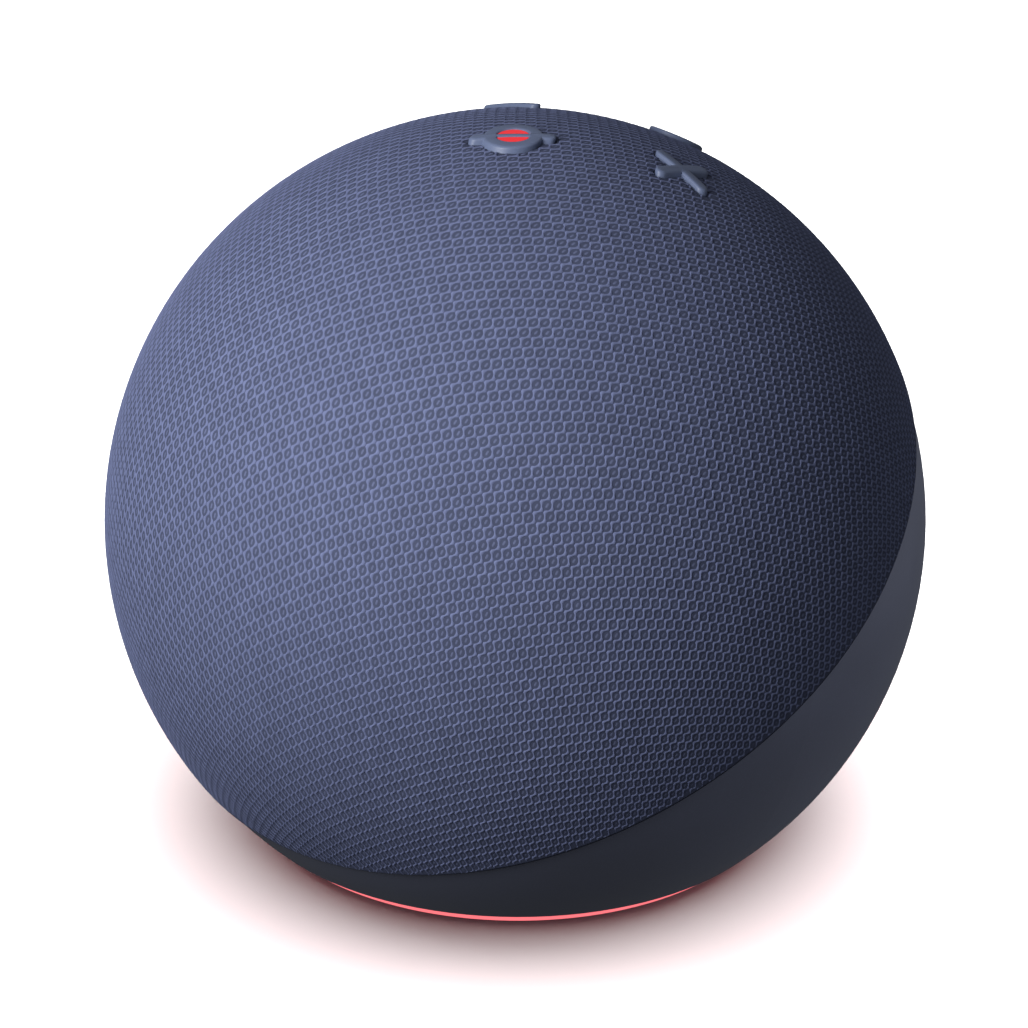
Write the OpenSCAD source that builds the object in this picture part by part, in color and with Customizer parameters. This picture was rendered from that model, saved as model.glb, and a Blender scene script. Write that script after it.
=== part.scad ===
// Ball-shaped smart speaker: knit-covered grille shell over a moulded rear housing,
// a light ring and rubber foot at the base, four sprung buttons on top, and inside
// a loudspeaker in its sealed chamber, a main board, a button board and a ring of LEDs.
// Millimetres, +Z up, front towards -Y, origin on the table under the ball's centre.

/* [Ball] */
// Diameter of the ball over the knit cover
ball_d = 100; // [98:1:120]
// Height of the ball's centre above the table
ball_rise = 39; // [38:0.5:47]
// Wall of the grille shell and of the rear housing
wall = 2; // [1.6:0.1:2.4]
// Thickness of the knit cover
knit_t = 0.8; // [0.6:0.1:1]
// How far the knit stands proud of the rear housing
knit_proud = 0.35; // [0.2:0.05:0.5]

/* [Seam] */
// Forward tilt of the seam between knit and housing, in degrees
seam_tilt = 31.4; // [26:0.1:38.2]
// Distance of the seam's plane below the ball's centre, square to the seam
seam_drop = 3.9; // [3.8:0.01:5.5]
// Width of the groove at the seam
seam_gap = 0.3; // [0.25:0.05:0.5]
// Depth of the tongue that locates the shell in the housing
tongue_h = 1.8; // [1.4:0.1:2.2]
// Distance of the shell screws in from the ball's surface
shell_screw_inset = 6.5; // [6.2:0.1:7.5]

/* [Base] */
// Height of the middle of the light ring above the table
ring_z = 2.2; // [2.1:0.05:2.3]
// Height of the light ring's glowing edge
ring_h = 1.7; // [1.5:0.05:1.7]
// How far the light ring lies inside the housing's surface
ring_inset = 0.15; // [0:0.05:0.3]
// Height of the rubber foot below the base cover
foot_h = 0.7; // [0.6:0.05:0.8]
// Width of the rubber foot's band
foot_w = 10; // [9:0.5:12]
// Number of LEDs under the light ring
led_count = 12; // [6:1:16]

/* [Buttons] */
// Rearward tilt of the button group, in degrees
cluster_tilt = 15; // [13:0.5:17]
// Distance of each button from the middle of the group
cluster_r = 14.3; // [13.8:0.1:15]
// How far the buttons stand out of the knit
button_rise = 0.5; // [0.4:0.05:0.8]
// Travel of a button
button_travel = 0.4; // [0.25:0.05:0.4]
// Length of the bars of the plus and minus buttons
bar_l = 8.6; // [7:0.1:10]
// Width of the raised bars
bar_w = 1.5; // [1.2:0.1:1.8]
// Outside diameter of the action button's ring
dot_d = 6.8; // [5.6:0.1:8.2]
// Outside diameter of the mute button's ring
mute_d = 7; // [6.4:0.1:8.4]
// Length of the slash across the mute button
slash_l = 10; // [8.6:0.1:11]
// Diameter of the glowing window in the mute button
lens_d = 3.8; // [3.6:0.1:4.8]
// Width of the slash bar where it crosses the window
bridge_w = 0.8; // [0.7:0.1:1.2]

/* [Loudspeaker] */
// Diameter of the driver's frame
driver_d = 44; // [36:0.5:45]
// Peak travel of the cone each way
cone_travel = 2; // [1:0.1:2]
// Diameter of the magnet
magnet_d = 30; // [25:0.5:34]
// Length of the chamber behind its front plate
chamber_l = 47; // [38:0.5:52]
// Wall of the chamber
chamber_wall = 1.8; // [1.5:0.1:2.2]

/* [Electronics] */
// Height of the main board's underside above the table
board_z = 14; // [13:0.5:16]
// Thickness of the circuit boards
board_t = 1.2; // [1:0.1:1.6]
// Gap between the main board's edge and the housing wall
board_gap = 7.5; // [7:0.5:10]
// Radius of the hole that the plug's collar enters
inlet_r = 4.6; // [4:0.1:5]
// Length of that hole
inlet_l = 2.4; // [2:0.1:3]
// Bore radius of the power jack
jack_bore_r = 2.85; // [2.2:0.05:3]

/* [Hidden] */
$fn = 96;

// Clearances between pieces that meet
fit = 0.05;
skin_gap = 0.15;
slot_gap = 0.25;
big = 300;

// Ball radii
ball_r = ball_d / 2;
knit_in = ball_r - knit_t;
shell_out = knit_in - skin_gap;
shell_in = shell_out - wall;
house_out = ball_r - knit_proud;
house_in = house_out - wall;
house_top = -seam_drop - seam_gap;
shell_screw_circle = ball_r - shell_screw_inset;

// Radius that a ball of radius r has at a height z above the table
function radius_at(r, z) = sqrt(r * r - pow(ball_rise - z, 2));

// Base stack, from the table up
ring_low = ring_z - ring_h / 2;
ring_top = ring_z + ring_h / 2;
house_low = ring_top + fit;
edge_r = radius_at(house_out, ring_low) - 1.3;
cover_low = foot_h;
cover_edge = ring_low - fit;
cover_top = 2.9;
rib_w = 1.6;
rib_in = radius_at(house_in, house_low) - 0.4 - rib_w;
cover_r = rib_in - 0.2;
foot_out = cover_r - 0.7;
foot_in = foot_out - foot_w;
groove_top = cover_low + 0.8;
pad_top = 4;
base_screw_circle = foot_in + 4.5;
rib_top = 3.9;
led_size = 2;
led_h = 0.8;
led_low = rib_top + 0.2;
led_circle = rib_in + rib_w / 2;
ring_board_z = led_low + led_h;

// Inner frame and main board
frame_z = 8;
frame_t = 2;
frame_r = radius_at(house_in, frame_z) - 1.2;
shelf_h = 1.4;
board_r = radius_at(house_in, board_z) - board_gap;
board_top = board_z + board_t;
board_screw_circle = board_r - 3.5;
spreader_gap = 2.4;
spreader_t = 2;
spreader_z = board_top + spreader_gap;
spreader_r = board_r - 9.1;
spreader_post_circle = spreader_r - 3;
socket_y = board_r - 7;
shield_y = board_r - 23.1;
processor_w = 12;
processor_h = 1.2;
pad_h = 0.5;
screw_angles = [45, 135, 225, 315];
seam_angles = [40, 140, 220, 320];

// Power inlet at the rear
jack_z = board_top + 5.2;
jack_h = 10.4;
jack_w = 9;
jack_l = 13;
spot_r = inlet_r + 2;
spot_y = sqrt(pow(house_out, 2) - pow(ball_rise - jack_z + spot_r, 2)) - 0.3;
jack_y = spot_y - inlet_l - 0.1;

// Loudspeaker: distances are measured forwards from the ball's axis
driver_r = driver_d / 2;
chamber_r = driver_r + 1.5;
speaker_z = spreader_z + spreader_t + 0.9 + chamber_r;
speaker_rise = speaker_z - ball_rise;
flange_front = sqrt(pow(shell_in, 2) - pow(abs(speaker_rise) + driver_r, 2)) - 2.65;
flange_t = 1.5;
gasket_t = 0.3;
front_t = 2.9;
front_d = flange_front - flange_t - gasket_t - front_t;
body_front = front_d - gasket_t;
body_rear = body_front - chamber_l;
chamber_flange = chamber_r + 1.9;
ear_circle = chamber_r + 2.1;
ear_r = 2.6;
ear_angles = [30, 150, 270];
lug_circle = chamber_r + 5;
lug_t = 3;
lug_front = body_front - 4;
basket_in = driver_r - 4.1;
basket_hole = driver_r - 2.8;
coil_r = 6.35;
pole_gap = 0.35;
cone_r = driver_r - 6.7;
magnet_r = magnet_d / 2;
plate_d = flange_front - 13;
plate_t = 3;
magnet_t = 6;
yoke_t = 3;

// Button group: distances are measured outwards from the ball's centre
carrier_top = shell_in - 5;
carrier_t = 2.55;
lip_t = 0.5;
key_top = carrier_top - lip_t - 0.1;
key_t = 1;
key_low = key_top - key_t;
key_r = slash_l / 2 + 1;
key_hole_r = slash_l / 2 + 0.4;
lens_top = ball_r + button_rise - 0.2;
bridge_z = sqrt(ball_r * ball_r - cluster_r * cluster_r) - 1.5;
stem_h = 1.2;
stem_r = 0.7;
switch_w = 3.4;
switch_h = 1.6;
panel_t = board_t;
switch_top = key_low - stem_h - 0.6;
panel_top = switch_top - switch_h;
panel_low = panel_top - panel_t;
panel_r = cluster_r + 6.7;
panel_screw_circle = cluster_r + 4.3;
mic_circle = 9.5;
mute_switch_offset = 4.2;
plus_at = [cluster_r, 0];
minus_at = [-cluster_r, 0];
action_at = [0, cluster_r];
mute_at = [0, -cluster_r];
mute_switch_at = [0, mute_switch_offset - cluster_r];

// Routes of the speaker leads and of the flat cable to the button board, as [y, z]
lead_x = driver_r - 10;
lead_pitch = 1.8;
lead_r = 0.6;
seal_y = -body_rear;
lead_drop = speaker_z - driver_r + 12;
lead_route = [
  [-flange_front + 12, lead_drop - 4], [-flange_front + 18, lead_drop - 4],
  [seal_y - 16, lead_drop - 2], [seal_y - 6, lead_drop], [seal_y - 3, lead_drop],
  [seal_y + 1, lead_drop], [seal_y + 5, lead_drop - 1.5],
  [socket_y - 1.2, lead_drop - 6], [socket_y, lead_drop - 11], [socket_y, board_top + 2.6]
];
flex_x = -8.3;
flex_w = 6;
flex_t = 0.25;
flex_start = [10 * cos(cluster_tilt) + panel_low * sin(cluster_tilt),
  ball_rise - 10 * sin(cluster_tilt) + (panel_low - 0.2) * cos(cluster_tilt)];
flex_route = [
  flex_start, flex_start + [5, -4.5], flex_start + [9.5, -13],
  [socket_y + 4.5, ball_rise + 9], [socket_y + 5, ball_rise - 2],
  [socket_y + 3, board_top + 9], [socket_y, board_top + 2]
];

// ---------- frames ----------

module at_ball() translate([0, 0, ball_rise]) children();

module at_seam() at_ball() rotate([seam_tilt, 0, 0]) children();

module at_buttons() at_ball() rotate([-cluster_tilt, 0, 0]) children();

module at_driver() translate([0, 0, speaker_z]) rotate([90, 0, 0]) children();

module around(radius, angles) for (a = angles) rotate(a) translate([radius, 0, 0]) children();

// ---------- shared shapes ----------

module ball_shell(outer, inner) difference() {
  sphere(r = outer);
  sphere(r = inner);
}

module tube(outer, inner, low, high) translate([0, 0, low]) difference() {
  cylinder(r = outer, h = high - low);
  translate([0, 0, -1]) cylinder(r = inner, h = high - low + 2);
}

module drill(radius, low, high) translate([0, 0, low]) cylinder(r = radius, h = high - low);

module block(size_x, size_y, low, high) translate([-size_x / 2, -size_y / 2, low])
  cube([size_x, size_y, high - low]);

// Pan-head screw with its head's seat at height zero and the shank upwards
module screw(shank_r, length, head_r, head_h) difference() {
  union() {
    cylinder(r = shank_r, h = length);
    translate([0, 0, -head_h]) cylinder(r = head_r, h = head_h);
  }
  translate([0, 0, -head_h - 0.01]) cylinder(r = head_r * 0.45, h = head_h * 0.6, $fn = 6);
}

// Catmull-Rom curve through 2D points, a few steps to each span
function span_point(p, i, t) =
  let (a = p[max(i - 1, 0)], b = p[i], c = p[i + 1], d = p[min(i + 2, len(p) - 1)])
  0.5 * (2 * b + (c - a) * t + (2 * a - 5 * b + 4 * c - d) * t * t
    + (3 * b - a - 3 * c + d) * t * t * t);
function curve(p, steps) = concat(
  [for (i = [0:len(p) - 2], s = [0:steps - 1]) span_point(p, i, s / steps)],
  [p[len(p) - 1]]);
function direction(p, i) =
  let (v = p[min(i + 1, len(p) - 1)] - p[max(i - 1, 0)]) v / norm(v);

// Round wire along a route in a plane of constant x
module wire(route, radius) {
  sides = 8;
  line = curve(route, 3);
  last = len(line) - 1;
  points = [for (i = [0:last], k = [0:sides - 1])
    let (t = direction(line, i), a = 360 * k / sides)
    [radius * cos(a), line[i].x - t.y * radius * sin(a), line[i].y + t.x * radius * sin(a)]];
  walls = [for (i = [0:last - 1], k = [0:sides - 1])
    [i * sides + k, i * sides + (k + 1) % sides,
      (i + 1) * sides + (k + 1) % sides, (i + 1) * sides + k]];
  start = [for (k = [sides - 1:-1:0]) k];
  end = [for (k = [0:sides - 1]) last * sides + k];
  polyhedron(points, concat([start], walls, [end]), convexity = 4);
}

// Flat cable along a route in a plane of constant x
module ribbon(route, width, thickness) {
  line = curve(route, 5);
  last = len(line) - 1;
  side = [for (i = [0:last]) let (t = direction(line, i)) [-t.y, t.x] * thickness / 2];
  outline = concat([for (i = [0:last]) line[i] + side[i]],
    [for (i = [last:-1:0]) line[i] - side[i]]);
  rotate([90, 0, 90]) linear_extrude(width, center = true) polygon(outline);
}

// ---------- button marks ----------

module bar(length, width) {
  square([length - width, width], center = true);
  for (s = [-1, 1]) translate([s * (length - width) / 2, 0]) circle(d = width);
}

module plus_mark(gap = 0) {
  bar(bar_l + 2 * gap, bar_w + 2 * gap);
  rotate(90) bar(bar_l + 2 * gap, bar_w + 2 * gap);
}

module minus_mark(gap = 0) bar(bar_l + 2 * gap, bar_w + 2 * gap);

module action_mark(gap = 0) circle(d = dot_d + 2 * gap);

module mute_mark(gap = 0) {
  circle(d = mute_d + 2 * gap);
  rotate(45) bar(slash_l + 2 * gap, bar_w + 2 * gap);
}

module mark_slots(gap) {
  translate(plus_at) plus_mark(gap);
  translate(minus_at) minus_mark(gap);
  translate(action_at) action_mark(gap);
  translate(mute_at) mute_mark(gap);
}

module cut_mark_slots(gap) at_buttons() translate([0, 0, key_top - 1])
  linear_extrude(20) mark_slots(gap);

// ---------- shells ----------

module below_seam(level) at_seam() translate([0, 0, level - big]) cylinder(r = big, h = big);

module knit_cover() color([0.2, 0.23, 0.36]) difference() {
  at_ball() ball_shell(ball_r, knit_in);
  below_seam(-seam_drop);
  cut_mark_slots(slot_gap);
}

// Hexagonal perforations in front of the cone
module perforations() {
  pitch = 4.2;
  reach = driver_r - 3;
  rows = ceil(reach / pitch);
  at_driver() for (i = [-rows:rows], j = [-rows:rows]) {
    place = [pitch * (i + j / 2), pitch * j * sqrt(3) / 2];
    if (norm(place) < reach) translate([place.x, place.y, flange_front])
      cylinder(d = 3.2, h = ball_r, $fn = 6);
  }
}

module shell_bosses() {
  at_driver() around(lug_circle, screw_angles) drill(ear_r, lug_front + fit, ball_r);
  at_buttons() around(panel_screw_circle, screw_angles) drill(2.2, carrier_top + fit, ball_r);
  at_seam() around(shell_screw_circle, seam_angles) {
    drill(3, -seam_drop, 2);
    translate([0, -2.5, -seam_drop]) cube([5, 5, seam_drop + 2]);
  }
}

module grille_shell() color([0.13, 0.14, 0.17]) difference() {
  union() {
    difference() {
      at_ball() ball_shell(shell_out, shell_in);
      below_seam(-seam_drop);
    }
    difference() {
      at_ball() ball_shell(house_in + 0.35, shell_in);
      below_seam(house_top - tongue_h);
      at_seam() drill(big, -seam_drop + 0.1, big);
    }
    intersection() {
      shell_bosses();
      at_ball() sphere(r = shell_in + wall / 2);
    }
  }
  cut_mark_slots(slot_gap + 0.1);
  perforations();
  at_buttons() around(mic_circle, screw_angles) drill(0.6, 0, big);
  at_driver() around(lug_circle, screw_angles) drill(0.85, 0, lug_front + 5);
  at_buttons() around(panel_screw_circle, screw_angles) drill(0.85, 0, carrier_top + 1.8);
  at_seam() around(shell_screw_circle, seam_angles) drill(1.05, -20, 1);
}

module inlet_axis() translate([0, 0, jack_z]) rotate([-90, 0, 0]) children();

module rear_housing() color([0.15, 0.17, 0.21]) difference() {
  intersection() {
    union() {
      at_ball() ball_shell(house_out, house_in);
      intersection() {
        union() {
          drill(big, frame_z - shelf_h, frame_z - fit);
          at_seam() around(shell_screw_circle, seam_angles) {
            drill(3, house_top - 7, house_top);
            translate([0, -2.5, house_top - 7]) cube([5, 5, 7]);
          }
          inlet_axis() drill(spot_r + 1.6, spot_y - inlet_l, ball_r);
        }
        at_ball() sphere(r = house_in + wall / 2);
      }
    }
    below_seam(house_top);
    translate([0, 0, house_low]) cylinder(r = big, h = big);
  }
  drill(frame_r - 2.2, frame_z - shelf_h - 1, frame_z + 1);
  intersection() {
    at_ball() sphere(r = house_in + 0.35 + fit);
    at_seam() drill(big, house_top - tongue_h - 0.1, big);
  }
  inlet_axis() drill(spot_r, spot_y, big);
  inlet_axis() drill(inlet_r, 0, big);
  at_seam() around(shell_screw_circle, seam_angles) drill(1.3, house_top - 8, 10);
}

module seam_ring() color([0.05, 0.05, 0.06]) at_seam() tube(
  knit_in, house_in + 0.35 + fit, house_top + 0.02, -seam_drop - 0.02);

module shell_screws() color([0.55, 0.56, 0.58]) at_seam()
  around(shell_screw_circle, seam_angles)
    translate([0, 0, house_top - 7 - fit]) screw(1, 12, 1.8, 1.2);

// ---------- base ----------

module light_ring() color([1, 0.42, 0.45]) {
  intersection() {
    tube(house_out, rib_in, ring_low, ring_top);
    at_ball() sphere(r = house_out - ring_inset);
  }
  tube(rib_in + rib_w, rib_in, ring_top - 0.1, rib_top);
}

module base_cover() color([0.12, 0.13, 0.16]) difference() {
  union() {
    drill(edge_r, cover_low, cover_edge);
    drill(cover_r, cover_low, cover_top);
    around(base_screw_circle, screw_angles) drill(3.2, cover_low, pad_top);
  }
  tube(foot_out + fit, foot_in - fit, cover_low - 1, groove_top + fit);
  around(base_screw_circle, screw_angles) {
    drill(1.3, 0, 10);
    drill(2.2, 0, groove_top + 1.3);
  }
}

module rubber_foot() color([0.09, 0.09, 0.1]) difference() {
  tube(foot_out, foot_in, 0, groove_top);
  tube(foot_out - foot_w / 2 + 0.5, foot_out - foot_w / 2 - 0.5, -1, 0.3);
}

module base_screws() color([0.55, 0.56, 0.58]) around(base_screw_circle, screw_angles)
  translate([0, 0, groove_top + 1.3 - fit]) screw(1, 5, 2, 1.2);

module ring_board() color([0.1, 0.35, 0.2]) difference() {
  tube(rib_in + rib_w + 1, rib_in - 2.9, ring_board_z, ring_board_z + board_t - 0.2);
  around(led_circle, [for (a = [0, 120, 240]) a + 15]) drill(0.9, 0, 20);
}

module ring_leds() color([0.95, 0.95, 0.9])
  around(led_circle, [for (k = [0:led_count - 1]) 360 * k / led_count])
    block(led_size, led_size, led_low, ring_board_z);

module ring_flex() color([0.75, 0.5, 0.15]) translate([0, -led_circle, 0])
  block(flex_w, flex_t, ring_board_z + board_t - 0.2, board_z);

module inner_frame() color([0.2, 0.21, 0.23]) difference() {
  union() {
    drill(frame_r, frame_z, frame_z + frame_t);
    around(board_screw_circle, screw_angles) drill(2.4, frame_z, board_z - fit);
    around(base_screw_circle, screw_angles) drill(2.4, pad_top + fit, frame_z + 1);
  }
  drill(base_screw_circle - 6, 0, 20);
  translate([0, -led_circle, 0]) block(flex_w + 2, 2, 0, 20);
  around(board_screw_circle, screw_angles) drill(0.85, frame_z + 1, 30);
  around(base_screw_circle, screw_angles) drill(1.05, 0, frame_z + 0.8);
}

// ---------- main board ----------

module main_board() color([0.08, 0.3, 0.18]) difference() {
  union() {
    drill(board_r, board_z, board_top);
    translate([0, (jack_y - 3) / 2, 0]) block(14, jack_y - 3, board_z, board_top);
  }
  around(board_screw_circle, screw_angles) drill(1.05, 0, 30);
  around(board_screw_circle - 9, [0, 90]) drill(0.6, 0, 30);
}

module main_board_screws() color([0.55, 0.56, 0.58]) around(board_screw_circle, screw_angles)
  translate([0, 0, board_top + fit]) mirror([0, 0, 1]) screw(0.8, 4.5, 1.6, 1.1);

module processor() color([0.1, 0.1, 0.11])
  block(processor_w, processor_w, board_top, board_top + processor_h);

module thermal_pad() color([0.45, 0.6, 0.75]) block(
  processor_w, processor_w, board_top + processor_h, board_top + processor_h + pad_h);

module heat_spreader() color([0.7, 0.71, 0.73]) difference() {
  union() {
    drill(spreader_r, spreader_z, spreader_z + spreader_t);
    block(processor_w, processor_w, board_top + processor_h + pad_h, spreader_z + 1);
    around(spreader_post_circle, [90, 240, 300]) drill(2, board_top, spreader_z + 1);
  }
  for (x = [-12:6:12]) translate([x, 13, 0]) block(2, 8, spreader_z + 0.8, spreader_z + 9);
  for (x = [-12:6:12]) translate([x, -14, 0]) block(2, 8, spreader_z + 0.8, spreader_z + 9);
}

module wireless_shield() color([0.75, 0.76, 0.78]) translate([-13, shield_y, 0]) difference() {
  block(11, 12, board_top, board_top + 2);
  block(10.4, 11.4, board_top - 1, board_top + 1.7);
}

// Memory, radio, amplifier and power chips, and the coils beside them
module board_chips() color([0.12, 0.12, 0.13]) {
  translate([13, 8, 0]) block(9, 8, board_top, board_top + 1);
  translate([-13, shield_y, 0]) block(7, 7, board_top, board_top + 1);
  translate([11.5, 15 - spreader_r, 0]) block(6, 6, board_top, board_top + 1);
  translate([-12, -6, 0]) block(5, 5, board_top, board_top + 1);
  for (x = [-3.2, 3.2]) translate([x, socket_y - 9, 0]) block(4, 4, board_top, board_top + 1.8);
  for (x = [-6, 0, 6]) translate([x, 10 - spreader_r, 0]) block(2.5, 2, board_top, board_top + 0.8);
}

module power_capacitors() color([0.35, 0.37, 0.42])
  for (x = [-8, 8]) translate([x, -board_r + 4, board_top]) cylinder(r = 2.2, h = 3.6);

module cable_sockets() color([0.9, 0.88, 0.8]) {
  translate([lead_x + lead_pitch / 2, socket_y, 0]) block(6, 3.6, board_top, board_top + 2.5);
  translate([flex_x, socket_y, 0]) block(flex_w + 1, 3.6, board_top, board_top + 1.9);
}

module power_jack_body() color([0.06, 0.06, 0.07]) difference() {
  translate([0, jack_y - jack_l / 2, 0]) block(jack_w, jack_l, board_top, board_top + jack_h);
  inlet_axis() drill(jack_bore_r, jack_y - 10, jack_y + 1);
}

module power_jack_pin() color([0.8, 0.75, 0.55]) inlet_axis()
  drill(0.85, jack_y - 10 + fit, jack_y - 1);

module antennas() color([0.75, 0.5, 0.2]) at_ball() intersection() {
  ball_shell(house_in - skin_gap, house_in - 0.5);
  for (s = [-1, 1]) translate([s * 40, 20, -13]) cube([24, 24, 8], center = true);
}

// ---------- loudspeaker ----------

module chamber_body() color([0.16, 0.17, 0.19]) at_driver() difference() {
  union() {
    drill(chamber_r, body_rear, body_front);
    drill(chamber_flange, body_front - 3, body_front);
    around(ear_circle, ear_angles) drill(ear_r, body_front - 3.4, body_front);
    around(lug_circle, screw_angles) {
      drill(3, lug_front - lug_t, lug_front);
      translate([-8, -2.5, lug_front - lug_t]) cube([8, 5, lug_t]);
    }
  }
  drill(chamber_r - chamber_wall, body_rear + chamber_wall, body_front + 1);
  around(ear_circle, ear_angles) drill(0.85, body_front - 2.4, body_front + 1);
  around(lug_circle, screw_angles) drill(1.05, 0, body_front);
  translate([lead_x + lead_pitch / 2, lead_drop - speaker_z, 0])
    drill(2, body_rear - 1, body_rear + 4);
}

module chamber_gasket() color([0.08, 0.08, 0.09]) at_driver()
  tube(chamber_r - 0.4, chamber_r - chamber_wall, body_front, front_d);

module chamber_front() color([0.16, 0.17, 0.19]) at_driver() difference() {
  union() {
    drill(chamber_flange, front_d, front_d + front_t);
    around(ear_circle, ear_angles) drill(ear_r, front_d, front_d + front_t);
  }
  drill(basket_hole, 0, big);
  around(ear_circle, ear_angles) drill(1.05, 0, big);
  around(driver_r - 1.3, screw_angles) drill(0.65, front_d + 0.5, big);
}

// Short screws of the front plate and long screws that hold the chamber to the shell
module chamber_screws() color([0.55, 0.56, 0.58]) at_driver() {
  around(ear_circle, ear_angles) translate([0, 0, front_d + front_t + fit])
    mirror([0, 0, 1]) screw(0.8, front_t + 2.2, 1.5, 0.9);
  around(lug_circle, screw_angles) translate([0, 0, lug_front - lug_t - fit])
    screw(0.8, lug_t + 4, 1.6, 1.1);
}

module driver_gasket() color([0.08, 0.08, 0.09]) at_driver() difference() {
  tube(driver_r, basket_hole, front_d + front_t, front_d + front_t + gasket_t);
  around(driver_r - 1.3, screw_angles) drill(0.7, 0, big);
}

module driver_basket() color([0.14, 0.14, 0.15]) at_driver() difference() {
  low = plate_d;
  high = flange_front - flange_t;
  union() {
    rotate_extrude() polygon([
      [8, low], [magnet_r - 1, low], [basket_hole - 0.2, high - 5], [basket_hole - 0.2, high],
      [driver_r, high], [driver_r, flange_front], [basket_in, flange_front],
      [basket_in, high - 5], [magnet_r - 2, low + 1.2], [8, low + 1.2]
    ]);
    tube(basket_in + 0.1, basket_in - 2.6, low + 4.6, low + 5.4);
  }
  around(magnet_r + 1, [30, 90, 150, 210, 330]) drill(2.6, low + 1.5, high - 6.5);
  around(driver_r - 1.3, screw_angles) drill(0.7, 0, big);
}

module driver_top_plate() color([0.6, 0.61, 0.62]) at_driver()
  tube(magnet_r - 0.5, coil_r + 1.05, plate_d - plate_t, plate_d);

module driver_magnet() color([0.2, 0.2, 0.21]) at_driver()
  tube(magnet_r, coil_r + 2.1, plate_d - plate_t - magnet_t, plate_d - plate_t);

module driver_yoke() color([0.6, 0.61, 0.62]) at_driver() {
  yoke_top = plate_d - plate_t - magnet_t;
  drill(magnet_r - 0.5, yoke_top - yoke_t, yoke_top);
  drill(coil_r - pole_gap, yoke_top - 1, plate_d);
}

cone_front = flange_front;
cone_neck = coil_r + 0.3;
cone_depth = 4.5;
cone_t = 0.5;
cap_r = 8;
cap_d = cone_front - cone_depth + cone_t + cone_depth * (cap_r - cone_neck) / (cone_r - cone_neck);
cap_ball = 9.5;

module driver_cone() color([0.1, 0.1, 0.11]) at_driver() rotate_extrude() polygon([
  [cone_neck, cone_front - cone_depth], [cone_r, cone_front],
  [cone_r, cone_front + cone_t], [cone_neck, cone_front - cone_depth + cone_t]
]);

module dust_cap() color([0.12, 0.12, 0.13]) at_driver() intersection() {
  translate([0, 0, cap_d - sqrt(pow(cap_ball, 2) - pow(cap_r, 2))])
    ball_shell(cap_ball, cap_ball - 0.4);
  drill(cap_r + 1, cap_d + fit, big);
}

module coil_former() color([0.8, 0.75, 0.6]) at_driver()
  tube(coil_r + 0.25, coil_r, plate_d - 4.5, cone_front - cone_depth + 0.6);

module voice_coil() color([0.72, 0.42, 0.2]) at_driver()
  tube(coil_r + 0.65, coil_r + 0.25 + 0.02, plate_d - 4.2, plate_d + 0.8);

// Rubber half roll between the cone and the frame
module driver_surround() color([0.07, 0.07, 0.08]) at_driver() {
  roll_r = 1.7;
  roll_at = cone_r + 0.5 + roll_r;
  lip = flange_front + fit;
  rotate_extrude() {
    difference() {
      translate([roll_at, lip]) circle(r = roll_r);
      translate([roll_at, lip]) circle(r = roll_r - 0.35);
      translate([0, lip - 5]) square([roll_at + 5, 5]);
    }
    translate([roll_at + roll_r - 0.35, lip]) square([0.6, 0.35]);
    translate([cone_r - 0.6, lip + cone_t]) square([1.3, 0.35]);
  }
}

// Corrugated cloth disc that centres the coil
module driver_spider() color([0.75, 0.6, 0.3]) at_driver() {
  low = plate_d + 5.4 + fit;
  inner = coil_r + 0.3;
  outer = basket_in - 1.6;
  waves = 4;
  steps = waves * 8;
  step = (outer - inner - 2) / steps;
  wave = [for (k = [0:steps]) 0.5 * sin(360 * waves * k / steps)];
  rotate_extrude() polygon(concat(
    [for (k = [0:steps]) [inner + step * k, low + 0.8 + wave[k]]],
    [[outer, low + 0.8], [outer, low], [outer - 1.5, low]],
    [for (k = [steps:-1:0]) [inner + step * k, low + 0.5 + wave[k]]]
  ));
}

module driver_terminals() color([0.8, 0.7, 0.4]) at_driver()
  translate([lead_x + lead_pitch / 2, lead_drop - 4 - speaker_z, 0])
    block(4, 1.2, flange_front - 12, flange_front - 9);

module driver_screws() color([0.55, 0.56, 0.58]) at_driver()
  around(driver_r - 1.3, screw_angles) translate([0, 0, flange_front + fit])
    mirror([0, 0, 1]) screw(0.6, 3.6, 1.1, 0.6);

module speaker_leads() color([0.7, 0.1, 0.1]) for (k = [0, 1])
  translate([lead_x + k * lead_pitch, 0, 0]) wire(lead_route, lead_r);

module lead_seal() color([0.08, 0.08, 0.09]) at_driver()
  translate([lead_x + lead_pitch / 2, lead_drop - speaker_z, 0]) difference() {
    union() {
      drill(1.95, body_rear - 0.6, body_rear + chamber_wall + 0.4);
      drill(2.6, body_rear - 0.6, body_rear - fit);
    }
    for (s = [-1, 1]) translate([s * lead_pitch / 2, 0, 0])
      drill(lead_r + 0.06, body_rear - 5, body_rear + 5);
  }

// ---------- buttons ----------

module switch_places() {
  for (place = [plus_at, minus_at, action_at, mute_switch_at]) translate(place) children();
}

module button_carrier() color([0.2, 0.21, 0.23]) at_buttons() difference() {
  intersection() {
    union() {
      drill(panel_r + 1.2, carrier_top - carrier_t, carrier_top);
      around(panel_screw_circle, screw_angles) drill(2.2, panel_top + fit, carrier_top);
    }
    sphere(r = shell_in - 0.25);
  }
  for (place = [plus_at, minus_at, action_at, mute_at]) translate(place) {
    drill(key_r + 0.3, 0, key_top + 0.1);
    drill(key_hole_r, 0, big);
  }
  around(mic_circle, screw_angles) drill(2.2, 0, big);
  around(panel_screw_circle, screw_angles) drill(1.05, 0, big);
}

module button_board() color([0.08, 0.3, 0.18]) at_buttons() difference() {
  drill(panel_r, panel_low, panel_top);
  around(panel_screw_circle, screw_angles) drill(1.05, 0, big);
}

module button_board_screws() color([0.55, 0.56, 0.58]) at_buttons()
  around(panel_screw_circle, screw_angles) translate([0, 0, panel_low - fit])
    screw(0.8, carrier_top - panel_low + 1.4, 1.6, 1.1);

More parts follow.
